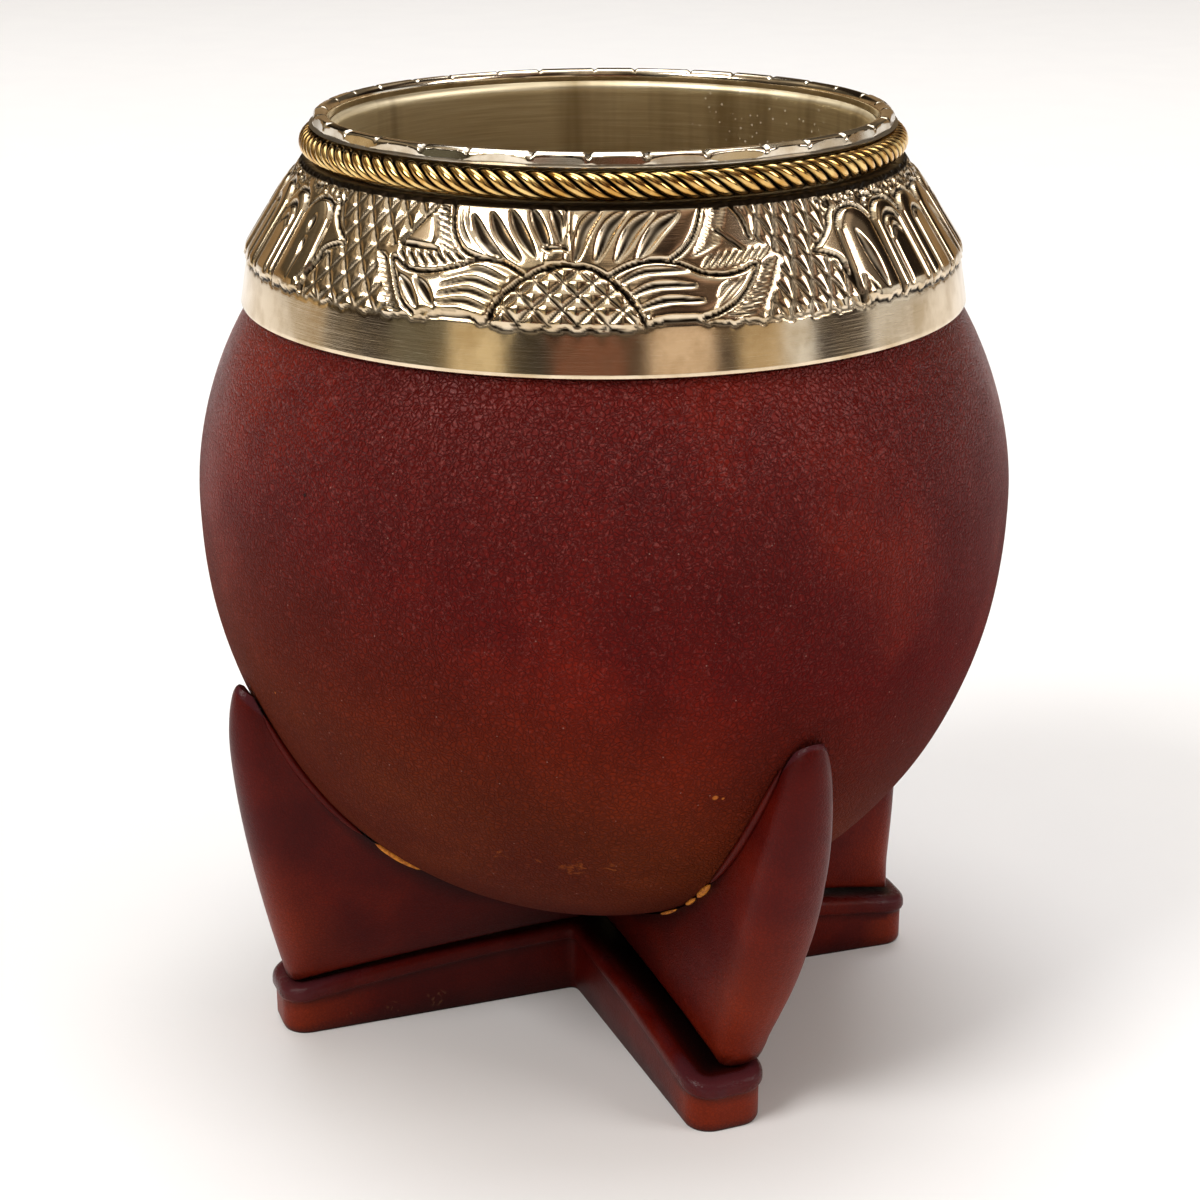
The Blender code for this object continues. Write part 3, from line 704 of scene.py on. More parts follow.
for flower in FLOWERS:
    cushion(flower, PETAL_LEFT, 0.30, 1.3)
    cushion(flower, PETAL_RIGHT, 0.30, 1.3)
    fan(flower, ((-19.2, 8.3), (-14.5, 7.3), (-9.4, 8.3)), ((-19.4, 11.2), (-15.5, 10.8), (-11.2, 11.7)),
        4, 0.52, 0.34, 0.5)
    fan(flower, ((-27.2, 8.7), (-25.0, 9.9), (-22.4, 12.0)), ((-23.9, 8.8), (-22.0, 10.0), (-19.8, 11.7)),
        2, 0.56, 0.40, 0.7)
    fan(flower, ((7.2, 8.6), (11.5, 7.2), (18.0, 7.2)), ((10.2, 11.2), (14.5, 10.3), (19.8, 10.5)), 3, 0.46,
        0.36, 0.5)
    fan(flower, ((27.4, 8.1), (24.7, 9.4), (20.8, 11.9)), ((26.0, 8.4), (23.6, 9.2), (21.8, 10.6)), 2, 0.30,
        0.30)
    # The two leaves above the heart.
    cushion(flower, ((-7.0, 7.2), (-13.6, 6.1), (-17.0, 5.2), (-19.4, 3.4), (-20.4, 0.2), (-0.8, 0.2),
                     (-0.9, 6.3)), 0.18, 1.6)
    cushion(flower, ((1.0, 6.3), (0.6, 3.4), (2.6, 0.2), (22.0, 0.2), (21.0, 2.0), (18.6, 4.5), (15.6, 6.0),
                     (10.0, 6.3), (6.4, 7.6)), 0.18, 1.6)
    fan(flower, ((-16.6, 1.7), (-14.2, 4.0), (-9.9, 6.5)), ((-3.4, 0.2), (-1.9, 2.3), (-0.9, 4.6)), 5, 0.74,
        0.48, 0.6)
    fan(flower, ((5.0, 0.5), (2.4, 2.5), (1.0, 5.9)), ((17.6, 1.1), (13.9, 2.8), (10.6, 5.9)), 4, 0.84, 0.50,
        0.65)
    fan(flower, ((-19.2, 0.4), (-18.2, 3.0), (-15.4, 5.4)), ((-18.2, 0.4), (-17.4, 2.4), (-15.0, 4.6)), 2,
        0.22, 0.2)
    # Outlines.
    stroke(flower, ((-13.6, 6.2), (-16.8, 5.5), (-19.0, 4.0), (-20.1, 2.2), (-20.7, 0.0)), OUTLINE_WIDTH,
           OUTLINE_DEPTH)
    stroke(flower, ((15.2, 6.2), (18.2, 4.8), (20.4, 2.9), (22.2, 0.0)), OUTLINE_WIDTH, OUTLINE_DEPTH)
    stroke(flower, ((-6.9, 7.6), (-10.0, 6.5), (-14.0, 6.2), (-18.0, 7.2), (-22.0, 7.95), (-26.0, 7.9),
                    (-29.4, 6.9), (-27.6, 9.2), (-25.6, 11.2), (-23.2, 12.5)), OUTLINE_WIDTH, OUTLINE_DEPTH)
    stroke(flower, ((6.0, 7.7), (9.0, 6.6), (13.0, 6.0), (17.0, 6.4), (20.5, 7.5), (24.0, 7.85), (27.0, 7.5),
                    (29.6, 6.9), (28.0, 8.6), (25.5, 10.5), (22.5, 11.7), (19.8, 12.3)), OUTLINE_WIDTH,
           OUTLINE_DEPTH)
    # The heart, its knurl and its outline.
    place, x, y, within = cushion(flower, HEART, 0.55, 3.2)
    families = []
    for slope in (-1.5, 1.5):
        phase = (x / MM_PER_DEGREE + 2.7 - slope * (y - 9.8)) / 4.3
        families.append(np.abs(phase - np.round(phase)) * 2.0)
    relief[place] += np.where(within, 0.54 * (cells(*families) - 0.78), 0.0)
    stroke(flower, HEART, 0.30, 0.5)
    # The stem block between the leaves.
    cushion(flower, ((-3.9, 5.0), (-0.8, 4.9), (-0.7, 6.2), (-3.7, 6.3)), 0.22, 0.4)
    stroke(flower, ((-0.9, 0.0), (-0.4, 4.9)), 0.20, 0.30)
    stroke(flower, ((-4.2, 4.7), (-0.6, 4.6)), 0.18, 0.30)
print("flowers at", FLOWERS, "degrees")

# %% [markdown]
# Feathery fringes fill the space between the leaves and the hatching. They are short cuts side by side,
# and each fringe is one fan whose first and last cut are given.

# %% The fringes
CUT_WIDTH = 0.22
CUT_DEPTH = 0.30

for flower in FLOWERS:
    cushion(flower, ((-28.5, 5.1), (-24.2, 1.5), (-22.6, 5.1)), 0.26, 0.7)
    stroke(flower, ((-28.7, 5.3), (-24.2, 1.4)), 0.22, 0.34)
    stroke(flower, ((-28.7, 5.4), (-22.0, 5.5)), 0.24, 0.36)
    fan(flower, ((-24.2, 0.9), (-22.4, 1.1), (-20.7, 1.6)), ((-21.8, 4.6), (-19.6, 5.3), (-16.6, 6.3)), 7,
        CUT_WIDTH * 1.2, CUT_DEPTH, 0.7)
    fan(flower, ((-28.6, 5.8), (-27.7, 6.6), (-26.4, 7.6)), ((-18.9, 5.5), (-17.8, 6.1), (-16.2, 6.7)), 7,
        CUT_WIDTH * 1.6, CUT_DEPTH * 1.1, 0.7)
    fan(flower, ((-33.2, 6.5), (-31.5, 6.8), (-29.5, 7.6)), ((-29.2, 12.0), (-27.2, 12.1), (-24.8, 12.5)), 12,
        CUT_WIDTH, CUT_DEPTH)
    fan(flower, ((22.8, 1.3), (24.6, 0.8), (26.6, 0.5)), ((18.6, 5.8), (21.4, 5.0), (24.8, 4.0)), 10,
        CUT_WIDTH, CUT_DEPTH)
    fan(flower, ((20.2, 7.3), (21.4, 6.4), (23.0, 5.3)), ((29.4, 6.8), (30.8, 5.9), (32.6, 4.9)), 8,
        CUT_WIDTH, CUT_DEPTH)
    fan(flower, ((29.6, 7.5), (31.4, 6.9), (33.4, 6.3)), ((22.6, 12.1), (25.6, 12.1), (28.8, 11.9)), 11,
        CUT_WIDTH, CUT_DEPTH)
    stroke(flower, ((26.6, 0.0), (28.6, 1.8), (29.4, 4.0)), 0.26, 0.36)
    stroke(flower, ((23.8, 3.0), (27.6, 5.2)), 0.22, 0.28)

# %% [markdown]
# Between the flowers stand the palmettes, nine round-topped flutes side by side. Each flute is a cushion
# with a deep outline, and gouged inside with a lens, two drops or an oval with an island left in it. The
# dark ground above them was stippled with a point, so small pits are scattered there from a fixed seed.

# %% The palmettes
FLUTES = 9
FLUTE_PITCH = 9.67
FLUTE_TOP_MM = 2.3
FLUTE_HALF = 4.45
PALMETTE_FOOT_MM = 12.7
STIPPLES = 420
chance = np.random.default_rng(11)


def flute_outline(middle, half, top, foot):
    """A round-topped arch: up one side, round, and down the other."""
    radius = half * MM_PER_DEGREE
    turns = [math.pi * index / 8 for index in range(9)]
    head = [(middle - half * math.cos(angle), top + radius - radius * math.sin(angle)) for angle in turns]
    return [(middle - half, foot)] + head + [(middle + half, foot)]


for palmette in (90.0, -90.0):
    for index in range(FLUTES):
        middle = (index - (FLUTES - 1) / 2) * FLUTE_PITCH
        lean = 0.6 * math.copysign(1.0, palmette)
        cushion(palmette, flute_outline(middle, FLUTE_HALF, FLUTE_TOP_MM, PALMETTE_FOOT_MM), 0.42, 2.0)
        outline = flute_outline(middle, FLUTE_HALF + 0.25, FLUTE_TOP_MM - 0.15, PALMETTE_FOOT_MM)
        stroke(palmette, outline, 0.30, 0.42)
        kind = index % 3 if palmette > 0 else (FLUTES - 1 - index) % 3
        if kind == 0 and palmette < 0:
            stroke(palmette, ((middle + 0.5, 4.3), (middle + 0.6, 6.4)), 0.62, 0.34, 0.7)
            stroke(palmette, ((middle + 0.4, 6.8), (middle + 0.9, 9.2)), 0.42, 0.30, 0.9)
            stroke(palmette, ((middle + 1.0, 7.0), (middle + 0.6, 11.9)), 0.20, 0.24, 0.5)
        elif kind == 0:
            stroke(palmette, ((middle - 1.2, 4.8), (middle + 0.2, 8.0), (middle + 1.0, 12.0)), 0.80, 0.44,
                   0.9)
        elif kind == 1:
            stroke(palmette, flute_outline(middle, 2.5, 4.1, 11.9), 0.48, 0.40, 0.2)
            stroke(palmette, ((middle - 2.0, 7.0), (middle, 5.7), (middle + 1.8, 6.8)), 0.34, 0.26, 0.6)
        else:
            stroke(palmette, flute_outline(middle + lean, 2.2, 4.6, 12.0), 0.36, 0.36, 0.2)
    for side in (-1.0, 1.0):
        edge = side * FLUTES / 2 * FLUTE_PITCH
        tip = side * 49.2
        cushion(palmette,
                ((edge - side * 0.3, 2.6), (tip, 6.3), (edge + side * 0.4, 8.8), (edge - side * 0.4, 12.4)),
                0.24, 0.9)
        stroke(palmette, ((edge - side * 0.6, 2.1), (edge + side * 2.0, 4.3), (tip, 6.2)), 0.28, 0.44)
        stroke(palmette,
               ((tip, 6.4), (edge + side * 1.9, 7.5), (edge + side * 0.6, 9.4), (edge - side * 0.6, 12.5)),
               0.28, 0.44)
    for across, down in zip(chance.uniform(-45.0, 45.0, STIPPLES), chance.uniform(0.1, 2.6, STIPPLES)):
        phase = (across / FLUTE_PITCH + 0.5) % 1.0 - 0.5
        if down < 1.7 or abs(phase) > 0.36:
            size = chance.uniform(0.2, 0.36)
            stroke(palmette,
                   ((across, down), (across + chance.uniform(-0.9, 0.9), down + chance.uniform(-0.3, 0.3))),
                   size, 0.26)
print(2 * FLUTES, "flutes,", 2 * STIPPLES, "stipples")

# %% [markdown]
# The chased zone stands a little proud of the plain band below it, and its lower edge is wavy, because
# each stroke pushed some metal down over the shoulder. The edge's height is a sum of soft waves, deeper
# under the heart, and the relief fades out across it. A little hammer unevenness covers everything.

# %% The wavy lower edge
EDGE_STEP = 0.30
PROUD = 0.16


def edge_line(azimuth):
    """How far down the chased zone reaches, in millimetres, by the azimuth from the nearest flower."""
    local = (azimuth + 90.0) % 180.0 - 90.0
    heart = np.clip((11.2 - np.abs(local)) / 1.2, 0.0, 1.0)
    petal = np.clip((np.abs(local) - 12.0) / 2.0, 0.0, 1.0) * np.clip((21.0 - np.abs(local)) / 2.5, 0.0, 1.0)
    lobes = 0.30 * np.abs(np.sin(math.pi * local / 3.4))
    ripple = 0.14 * np.sin(local * 1.35 + 0.6) + 0.10 * np.sin(local * 2.9) + 0.05 * np.sin(local * 5.3)
    return 12.75 + heart * (0.15 + lobes) - petal * 0.55 + (1.0 - heart) * (1.0 - petal) * ripple


edge = edge_line(strip_azimuth)[None, :]
below = strip_down[:, None] - edge
fade = 1.0 - np.clip(below / EDGE_STEP + 0.5, 0.0, 1.0)
relief = np.clip(relief, -0.50, 0.75)
relief = (relief + PROUD) * fade
relief -= 0.10 * np.exp(-((below - 0.28) / 0.16) ** 2)
top_fade = np.clip(strip_down / 0.5, 0.0, 1.0)[:, None]
relief *= top_fade


def blurred(field, reach):
    """Box blur of the strip, wrapped round the collar."""
    total = np.zeros_like(field)
    for shift in range(-reach, reach + 1):
        total += np.roll(field, shift, axis=1)
    total /= 2 * reach + 1
    padded = np.pad(total, ((reach, reach), (0, 0)), mode="edge")
    return sum(padded[start:start + len(field)] for start in range(2 * reach + 1)) / (2 * reach + 1)


relief = 0.8 * relief + 0.2 * blurred(relief, 1)
patina_and_shade = np.clip((blurred(relief, 2) - relief - 0.01) / 0.07, 0.0, 1.0)
hollow = np.clip((blurred(relief, 8) - relief) / 0.30, 0.0, 1.0)
patina_and_shade = np.clip(np.maximum(0.9 * patina_and_shade + 0.35 * hollow, 0.85 * ink), 0.0, 1.0)
# Painted shadow: the top 0.65 mm of the cone, right under the rope ring, is set fully dark.
patina_and_shade[strip_down < 0.65] = 1.0
print("relief", round(float(relief.min()), 2), "to", round(float(relief.max()), 2), "mm")

# %% [markdown]
# Nickel silver is a copper alloy with nickel and zinc: pale, faintly warm, and bright when polished. The
# chasing was darkened with a patina that stays in the cuts when the high parts are rubbed bright. The
# collar carries that as an attribute, painted from the relief itself, and the same attribute paints the
# shade under the rope ring and under the rim's bead. The plain band keeps fine lines from
# the lathe, 0.25 mm apart, and the whole surface has faint wipe marks.

# %% The nickel silver finish


def metal_material(name, bright, shade, dark, roughness, lines_mm, lines_depth, patina_and_shade_name=None):
    """Polished metal with lathe lines, faint stains and, where an attribute says so, dark patina and painted
    shade.
    """
    made, tree, shader = start_material(name, Metallic=1.0)
    place = add(tree, "TexCoord", output="Object")
    stains = add(tree, "TexNoise", {"Vector": place, "Scale": 1.0 / (5.0 * MM), "Detail": 4.0,
                                              "Roughness": 0.6})
    colour = add(tree, "ValToRGB", {"Fac": stains}, stops=((0.38, shade), (0.58, bright)))
    ringed = add(tree, "Mapping", {"Vector": place, "Scale": (0.03, 0.03, 1.0)})
    lines = add(tree, "TexNoise", {"Vector": ringed, "Scale": 1.0 / (lines_mm * MM), "Detail": 3.0,
                                             "Roughness": 0.7})
    dents = add(tree, "TexNoise", {"Vector": place, "Scale": 1.0 / (1.5 * MM), "Detail": 2.0})
    height = add(tree, "Math", (dents, 0.5, lines), operation="MULTIPLY_ADD")
    bump = add(tree, "Bump", {"Height": height, "Strength": 1.0, "Distance": lines_depth * MM})
    tree.links.new(bump, shader.inputs["Normal"])
    shine = add(tree, "MapRange", (stains, 0.3, 0.7, roughness * 1.25, roughness * 0.8))
    if patina_and_shade_name:
        patina_and_shade_mask = add(tree, "Attribute", output="Fac", attribute_name=patina_and_shade_name)
        colour = add(tree, "Mix", (patina_and_shade_mask, colour, dark), data_type="RGBA")
        shine = add(tree, "Math", (patina_and_shade_mask, 0.35, shine), operation="MULTIPLY_ADD")
    tree.links.new(colour, shader.inputs["Base Color"])
    tree.links.new(shine, shader.inputs["Roughness"])
    return made


nickel_silver = metal_material("polished_nickel_silver", "#e6d4b8", "#cdb795", "#1c150e", 0.14, 0.25, 0.008,
                               "patina_and_shade")
rim_silver = metal_material("filed_nickel_silver", "#e4dac8", "#c4b49a", "#241c14", 0.13, 0.4, 0.003,
                            "patina_and_shade")

# %% [markdown]
# The collar is one turned profile with a row every 0.2 mm down the chased cone. After the spin each point
# of the chased face is moved out along the surface by the relief at its place on the strip. The shoulder
# between cone and band is rounded by blending the two directions.

# %% The collar
COLLAR_WALL = 0.0008
FLANGE_THICKNESS = 0.0009
BAND_BEVEL = 0.00012
BAND_ROWS = 3
CONE_SLANT = 1.19
ON_FACE = 0.00001
cone_way = Vector((CONE_TOP_Z - SHOULDER_Z, SHOULDER_RADIUS - CONE_TOP_RADIUS)).normalized()
band_way = Vector((SHOULDER_Z - BAND_BOTTOM_Z, BAND_BOTTOM_RADIUS - SHOULDER_RADIUS)).normalized()


def collar_point(down):
    """Radius and height on the plain collar, by the distance down from its top edge in millimetres."""
    if down <= CONE_MM:
        share = down / CONE_MM
        return (CONE_TOP_RADIUS + (SHOULDER_RADIUS - CONE_TOP_RADIUS) * share,
                CONE_TOP_Z + (SHOULDER_Z - CONE_TOP_Z) * share)
    share = (down - CONE_MM) / BAND_MM
    return (SHOULDER_RADIUS + (BAND_BOTTOM_RADIUS - SHOULDER_RADIUS) * share,
            SHOULDER_Z + (BAND_BOTTOM_Z - SHOULDER_Z) * share)


face_down = list(strip_down)
face_down += [CHASED_MM + (CONE_MM + BAND_MM - 0.5 - CHASED_MM) * row / BAND_ROWS for row in range(1,
                                                                                                   BAND_ROWS
                                                                                                   + 1)]
face_down += [CONE_MM + BAND_MM - 0.15]
face = [collar_point(down) for down in face_down]
wall = COLLAR_WALL * CONE_SLANT
flange_bottom = CONE_TOP_Z - FLANGE_THICKNESS
inside = [(BAND_BOTTOM_RADIUS - BAND_BEVEL, BAND_BOTTOM_Z), (BAND_BOTTOM_RADIUS - wall, BAND_BOTTOM_Z),
          (SHOULDER_RADIUS - wall, SHOULDER_Z - 0.0002), (collar_point(0.9)[0] - wall, flange_bottom),
          (neck_inner, flange_bottom), (neck_inner, CONE_TOP_Z)]
builder = spin_profile(face + inside, COLLAR_STEPS)
face_heights = np.array([point[1] for point in face])[::-1]
face_radii = np.array([point[0] for point in face])[::-1]
face_places = np.array(face_down)[::-1]
patina_and_shade_layer = builder.verts.layers.float.new("patina_and_shade")
for vert in builder.verts:
    radius = math.hypot(vert.co.x, vert.co.y)
    if abs(radius - np.interp(vert.co.z, face_heights, face_radii)) > ON_FACE:
        continue
    down = float(np.interp(vert.co.z, face_heights, face_places))
    row = int(round(down / ROW_MM))
    if row >= chased_rows:
        continue
    azimuth = math.degrees(math.atan2(vert.co.y, vert.co.x)) - FLOWER_AZIMUTH
    column = int(round((azimuth + 180.0) * COLLAR_STEPS / 360.0)) % COLLAR_STEPS
    round_over = min(1.0, max(0.0, (down - CONE_MM + 0.5) / 1.0))
    way = cone_way.lerp(band_way, round_over)
    lift = relief[row, column] * MM - 0.00012 * (1.0 - abs(2.0 * round_over - 1.0))
    vert.co.x *= 1.0 + way.x * lift / radius
    vert.co.y *= 1.0 + way.x * lift / radius
    vert.co.z += way.y * lift
    vert[patina_and_shade_layer] = float(patina_and_shade[row, column])
collar = finish_piece("chased_collar_sheet", builder, nickel_silver, ["chased_collar"], 80.0)

# %% [markdown]
# The rope ring is brass wire, twisted and soldered into a ring. Five wires wind round a core, so the outside
# shows a strand every 1.8 mm. One tube is enough for it. Its profile is twisted before the spin, so that
# its edges run along the strands, and each point is drawn in where two strands meet.

# %% The rope ring
ROPE_RADIUS = 0.0330
ROPE_TUBE = 0.0015
ROPE_STRANDS = 117
ROPE_WIRES = 5
ROPE_VALLEY = 0.40
SAMPLES_PER_STRAND = 12
ROPE_SIDES = 30

polished_brass, tree, shader = start_material("twisted_brass_wire", Metallic=1.0)
place = add(tree, "TexCoord", output="Object")
valley = add(tree, "Attribute", output="Fac", attribute_name="valley")
stains = add(tree, "TexNoise", {"Vector": place, "Scale": 1.0 / (2.5 * MM), "Detail": 4.0})
clean = add(tree, "ValToRGB", {"Fac": stains}, stops=((0.35, "#c6954c"), (0.62, "#f2d08a")))
# Painted shade: where two strands meet, the colour is darkened to near black.
tree.links.new(add(tree, "Mix", (add(tree, "MapRange", (valley, 0.09, 0.42)), clean, "#120a03"),
                   data_type="RGBA"), shader.inputs["Base Color"])
tree.links.new(add(tree, "MapRange", (valley, 0.0, 1.0, 0.13, 0.5)), shader.inputs["Roughness"])

rope_z = CONE_TOP_Z + GAP + ROPE_TUBE
builder = spin_profile(arc((ROPE_RADIUS, rope_z), ROPE_TUBE, 0.0, 360.0, ROPE_SIDES + 1),
                       ROPE_STRANDS * SAMPLES_PER_STRAND, False, -math.tau * ROPE_WIRES / ROPE_STRANDS)
valley_layer = builder.verts.layers.float.new("valley")
for vert in builder.verts:
    radius = math.hypot(vert.co.x, vert.co.y)
    around = math.atan2(vert.co.z - rope_z, radius - ROPE_RADIUS)
    phase = (ROPE_STRANDS * math.atan2(vert.co.y, vert.co.x) + ROPE_WIRES * around) / math.tau
    across = 2.0 * abs(phase - round(phase))
    depth = 1.0 - math.sqrt(1.0 - 0.98 * across * across)
    tube = ROPE_TUBE * (1.0 - ROPE_VALLEY * depth)
    ring = ROPE_RADIUS + tube * math.cos(around)
    vert.co = Vector((vert.co.x * ring / radius, vert.co.y * ring / radius, rope_z + tube * math.sin(around)))
    vert[valley_layer] = depth
rope = finish_piece("twisted_rope_ring", builder, polished_brass, ["rope_ring"], 80.0)

# %% [markdown]
# The rim is a soldered bead. A gouge took a shallow scoop from its lower outside every six millimetres, so
# its lower edge is a row of arches, and the light breaks into short cushions. Where two scoops meet, a V was
# filed over the top. Each cushion was also filed a little flat by hand, at an angle of its own.

# %% The rim
RIM_RADIUS = 0.0320
RIM_TUBE = 0.00095
RIM_TOP_Z = 0.1104
RIM_FOOT_Z = 0.1089
RIM_NICKS = 33
RIM_SAMPLES = 32
NICK_DEPTH_MM = 0.34
NICK_SLOPE = 0.70
STEP_RADIUS = 0.0332
FIRST_NICK = -92.6

rim_z = RIM_TOP_Z - RIM_TUBE
profile = [(STEP_RADIUS, RIM_FOOT_Z), (STEP_RADIUS + 0.0001, RIM_FOOT_Z + 0.0001),
           (STEP_RADIUS - 0.0001, RIM_FOOT_Z + 0.0002), (RIM_RADIUS + 0.90 * RIM_TUBE, RIM_FOOT_Z + 0.00024)]
profile += arc((RIM_RADIUS, rim_z), RIM_TUBE, -18.0, 180.0, 26) + [(RIM_RADIUS - RIM_TUBE, RIM_FOOT_Z)]
builder = spin_profile(profile, RIM_NICKS * RIM_SAMPLES)
file_chance = np.random.default_rng(5)
strengths = file_chance.uniform(0.75, 1.15, RIM_NICKS)
shifts = file_chance.uniform(-0.10, 0.10, RIM_NICKS)
scoop_turns = file_chance.uniform(-2.0, 14.0, RIM_NICKS)
flat_turns = file_chance.uniform(58.0, 100.0, RIM_NICKS)
scoops = file_chance.uniform(0.20, 0.29, RIM_NICKS)
flats = file_chance.uniform(0.05, 0.11, RIM_NICKS)
rim_patina_and_shade = builder.verts.layers.float.new("patina_and_shade")
for vert in builder.verts:
    radius = math.hypot(vert.co.x, vert.co.y)
    around = math.degrees(math.atan2(vert.co.z - rim_z, radius - RIM_RADIUS))
    if radius > RIM_RADIUS + 1.02 * RIM_TUBE or not -22.0 < around < 170.0:
        # Painted shade: the step below the bead and the bead's underside are darkened.
        vert[rim_patina_and_shade] = 0.6 if radius > RIM_RADIUS else 0.0
        continue
    azimuth = math.degrees(math.atan2(vert.co.y, vert.co.x))
    phase = ((azimuth - FIRST_NICK) * RIM_NICKS / 360.0) % RIM_NICKS
    segment = int(phase) % RIM_NICKS
    nick = int(round(phase)) % RIM_NICKS
    apart = abs(phase - round(phase) - shifts[nick]) * math.tau / RIM_NICKS * RIM_RADIUS * 1000.0
    reach = max(0.0, 1.0 - abs(around - 74.0) / 84.0)
    cut = max(0.0, NICK_DEPTH_MM * strengths[nick] * reach ** 0.7 - NICK_SLOPE * apart) * MM
    swell = 1.0 - (2.0 * (phase - int(phase)) - 1.0) ** 2
    tube = math.hypot(radius - RIM_RADIUS, vert.co.z - rim_z)
    limit = tube
    for depth, turned in ((scoops[segment] * swell, scoop_turns[segment]),
                          (flats[segment], flat_turns[segment])):
        facing = math.cos(math.radians(around - turned))
        if facing > 0.5:
            limit = min(limit, RIM_TUBE * (1.0 - depth) / facing)
    tube = min(limit, tube - cut)
    ring = RIM_RADIUS + tube * math.cos(math.radians(around))
    vert.co = Vector((vert.co.x * ring / radius, vert.co.y * ring / radius,
                      rim_z + tube * math.sin(math.radians(around))))
    # Patina in the nicks, and painted shade on the bead's underside.
    vert[rim_patina_and_shade] = max(min(0.7, 2.2 * cut / MM), 0.6 if around < -12.0 else 0.0)
rim = finish_piece("notched_rim", builder, rim_silver, ["rim_ring"], 35.0)

# %% [markdown]
# The sleeve inside the mouth was brushed while it turned, so its marks run round it. That is drawn as a
# noise stretched along the circumference. Drops of water dried on one side and left small pale specks.

# %% The liner
LINER_BOTTOM_Z = 0.088
LINER_TOP_Z = 0.1086
LINER_CHAMFER = 0.0007
DROPS_ANGLE = 0.85
LINER_STEPS = 256

brushed_sleeve, tree, shader = start_material("brushed_nickel_silver", Metallic=1.0, Anisotropic=0.8)
place = add(tree, "TexCoord", output="Object")
parts = add(tree, "SeparateXYZ", (place,)).node.outputs
angle = add(tree, "Math", (parts[1], parts[0]), operation="ARCTAN2")
wrapped = add(tree, "CombineXYZ",
              {0: add(tree, "Math", (angle, 2.2), operation="MULTIPLY"),
               1: add(tree, "Math", (parts[2], 1.0 / (0.35 * MM)), operation="MULTIPLY"), 2: 0.0})
brush = add(tree, "TexNoise", {"Vector": wrapped, "Scale": 1.0, "Detail": 6.0, "Roughness": 0.75})
# Painted reflection: soft, tall streaks darken the sleeve in bands, standing for the bright and dark streaks
# it mirrors.
streak_place = add(tree, "CombineXYZ",
            {0: add(tree, "Math", (angle, 4.5), operation="MULTIPLY"),
             1: add(tree, "Math", (parts[2], 12.0), operation="MULTIPLY"), 2: 0.0})
painted_streaks = add(tree, "TexNoise", {"Vector": streak_place, "Scale": 1.0, "Detail": 3.0, "Roughness": 0.6})
colour = add(tree, "ValToRGB", {"Fac": brush},
             stops=((0.30, "#dccfae"), (0.52, "#ece1c2"), (0.70, "#faf2da")))
colour = add(tree, "Mix", (add(tree, "MapRange", (painted_streaks, 0.50, 0.30, 0.0, 0.7)), colour, "#a08c66"),
             data_type="RGBA")
drops = add(tree, "TexVoronoi", {"Vector": place, "Scale": 1.0 / (1.0 * MM)})
sides = add(tree, "Math", (add(tree, "Math", (angle, DROPS_ANGLE), operation="SUBTRACT"),),
            operation="ABSOLUTE")
spots = add(tree, "Math",
            (add(tree, "MapRange", (drops, 0.17, 0.12)),
             add(tree, "MapRange", (sides, 0.42, 0.25, 0.0, 0.5))), operation="MULTIPLY")
tree.links.new(add(tree, "Mix", (spots, colour, "#fff8ea"), data_type="RGBA"), shader.inputs["Base Color"])
tree.links.new(add(tree, "Math", (1.0, spots), operation="SUBTRACT"), shader.inputs["Metallic"])
tree.links.new(add(tree, "MapRange", (brush, 0.3, 0.7, 0.38, 0.50)), shader.inputs["Roughness"])
bump = add(tree, "Bump", {"Height": brush, "Strength": 0.7, "Distance": 0.012 * MM})
tree.links.new(bump, shader.inputs["Normal"])

liner_outer = LINER_RADIUS + LINER_WALL
profile = [(liner_outer + 0.0003, LINER_TOP_Z), (liner_outer + 0.0003, LINER_TOP_Z - 0.0006),
           (liner_outer, LINER_TOP_Z - 0.0009), (liner_outer, LINER_BOTTOM_Z), (LINER_RADIUS, LINER_BOTTOM_Z)]
profile += [(LINER_RADIUS,
             LINER_BOTTOM_Z + (LINER_TOP_Z - 0.0011 - LINER_BOTTOM_Z) * row / 8) for row in range(1, 9)]
profile += arc((LINER_RADIUS + 0.0016, LINER_TOP_Z - 0.0008), 0.0016, 175.0, 128.0, 7)
profile = profile[:-1] + [(LINER_RADIUS + LINER_CHAMFER, LINER_TOP_Z)]
liner = finish_piece("brushed_mouth_liner", spin_profile(profile, LINER_STEPS), brushed_sleeve,
                     ["mouth_liner"], 50.0)

# %% [markdown]
# The cross is wood in a glued leather jacket. The top piece of leather rolls over the edge as a soft lip.
# The outline is drawn once, drawn in by different amounts at different heights, and each outline is one
# extrusion of the last, as a loft.

# %% The cross
ARM_HALF = 0.0049
ARM_CORNER = 0.0034
CROTCH_ROUND = 0.0012
CROSS_TOP_Z = 0.0093
CROSS_FALL = 1.8
LIP_OVERHANG = 0.0004
LIP_HEIGHT = 0.0020
LIP_ROUND = 0.0009
ARM_END_START = 0.0335
ARM_END_FADE = 0.004
ARMS = {
    "right": (18.2, -0.0007, 0.0405),
    "back": (109.8, -0.0005, 0.0411),
    "left": (199.6, -0.0015, 0.0425),
    "front": (291.9, -0.0007, 0.0407),
}
STATIONS = [index / 12 for index in range(2, 11)]
CORNER_TURNS = [index * 10.0 for index in range(10)]


def cross_top(radius):
    """Height of the stand's top, which falls away from the middle."""
    return CROSS_TOP_Z - CROSS_FALL * radius * radius


def crossing(first, second):
    """Where two lines in the ground plane cross."""
    (start, along), (other, across) = first, second
    gap = other - start
    turned = along.x * across.y - along.y * across.x
    return start + along * ((gap.x * across.y - gap.y * across.x) / turned)


def arm_side(row, side, inset):
    """A line along one side of an arm: a point on it and its direction."""
    azimuth, shift, _ = ARMS[row]
    return polar(0.0, azimuth, shift + side * (ARM_HALF - inset)), polar(1.0, azimuth)


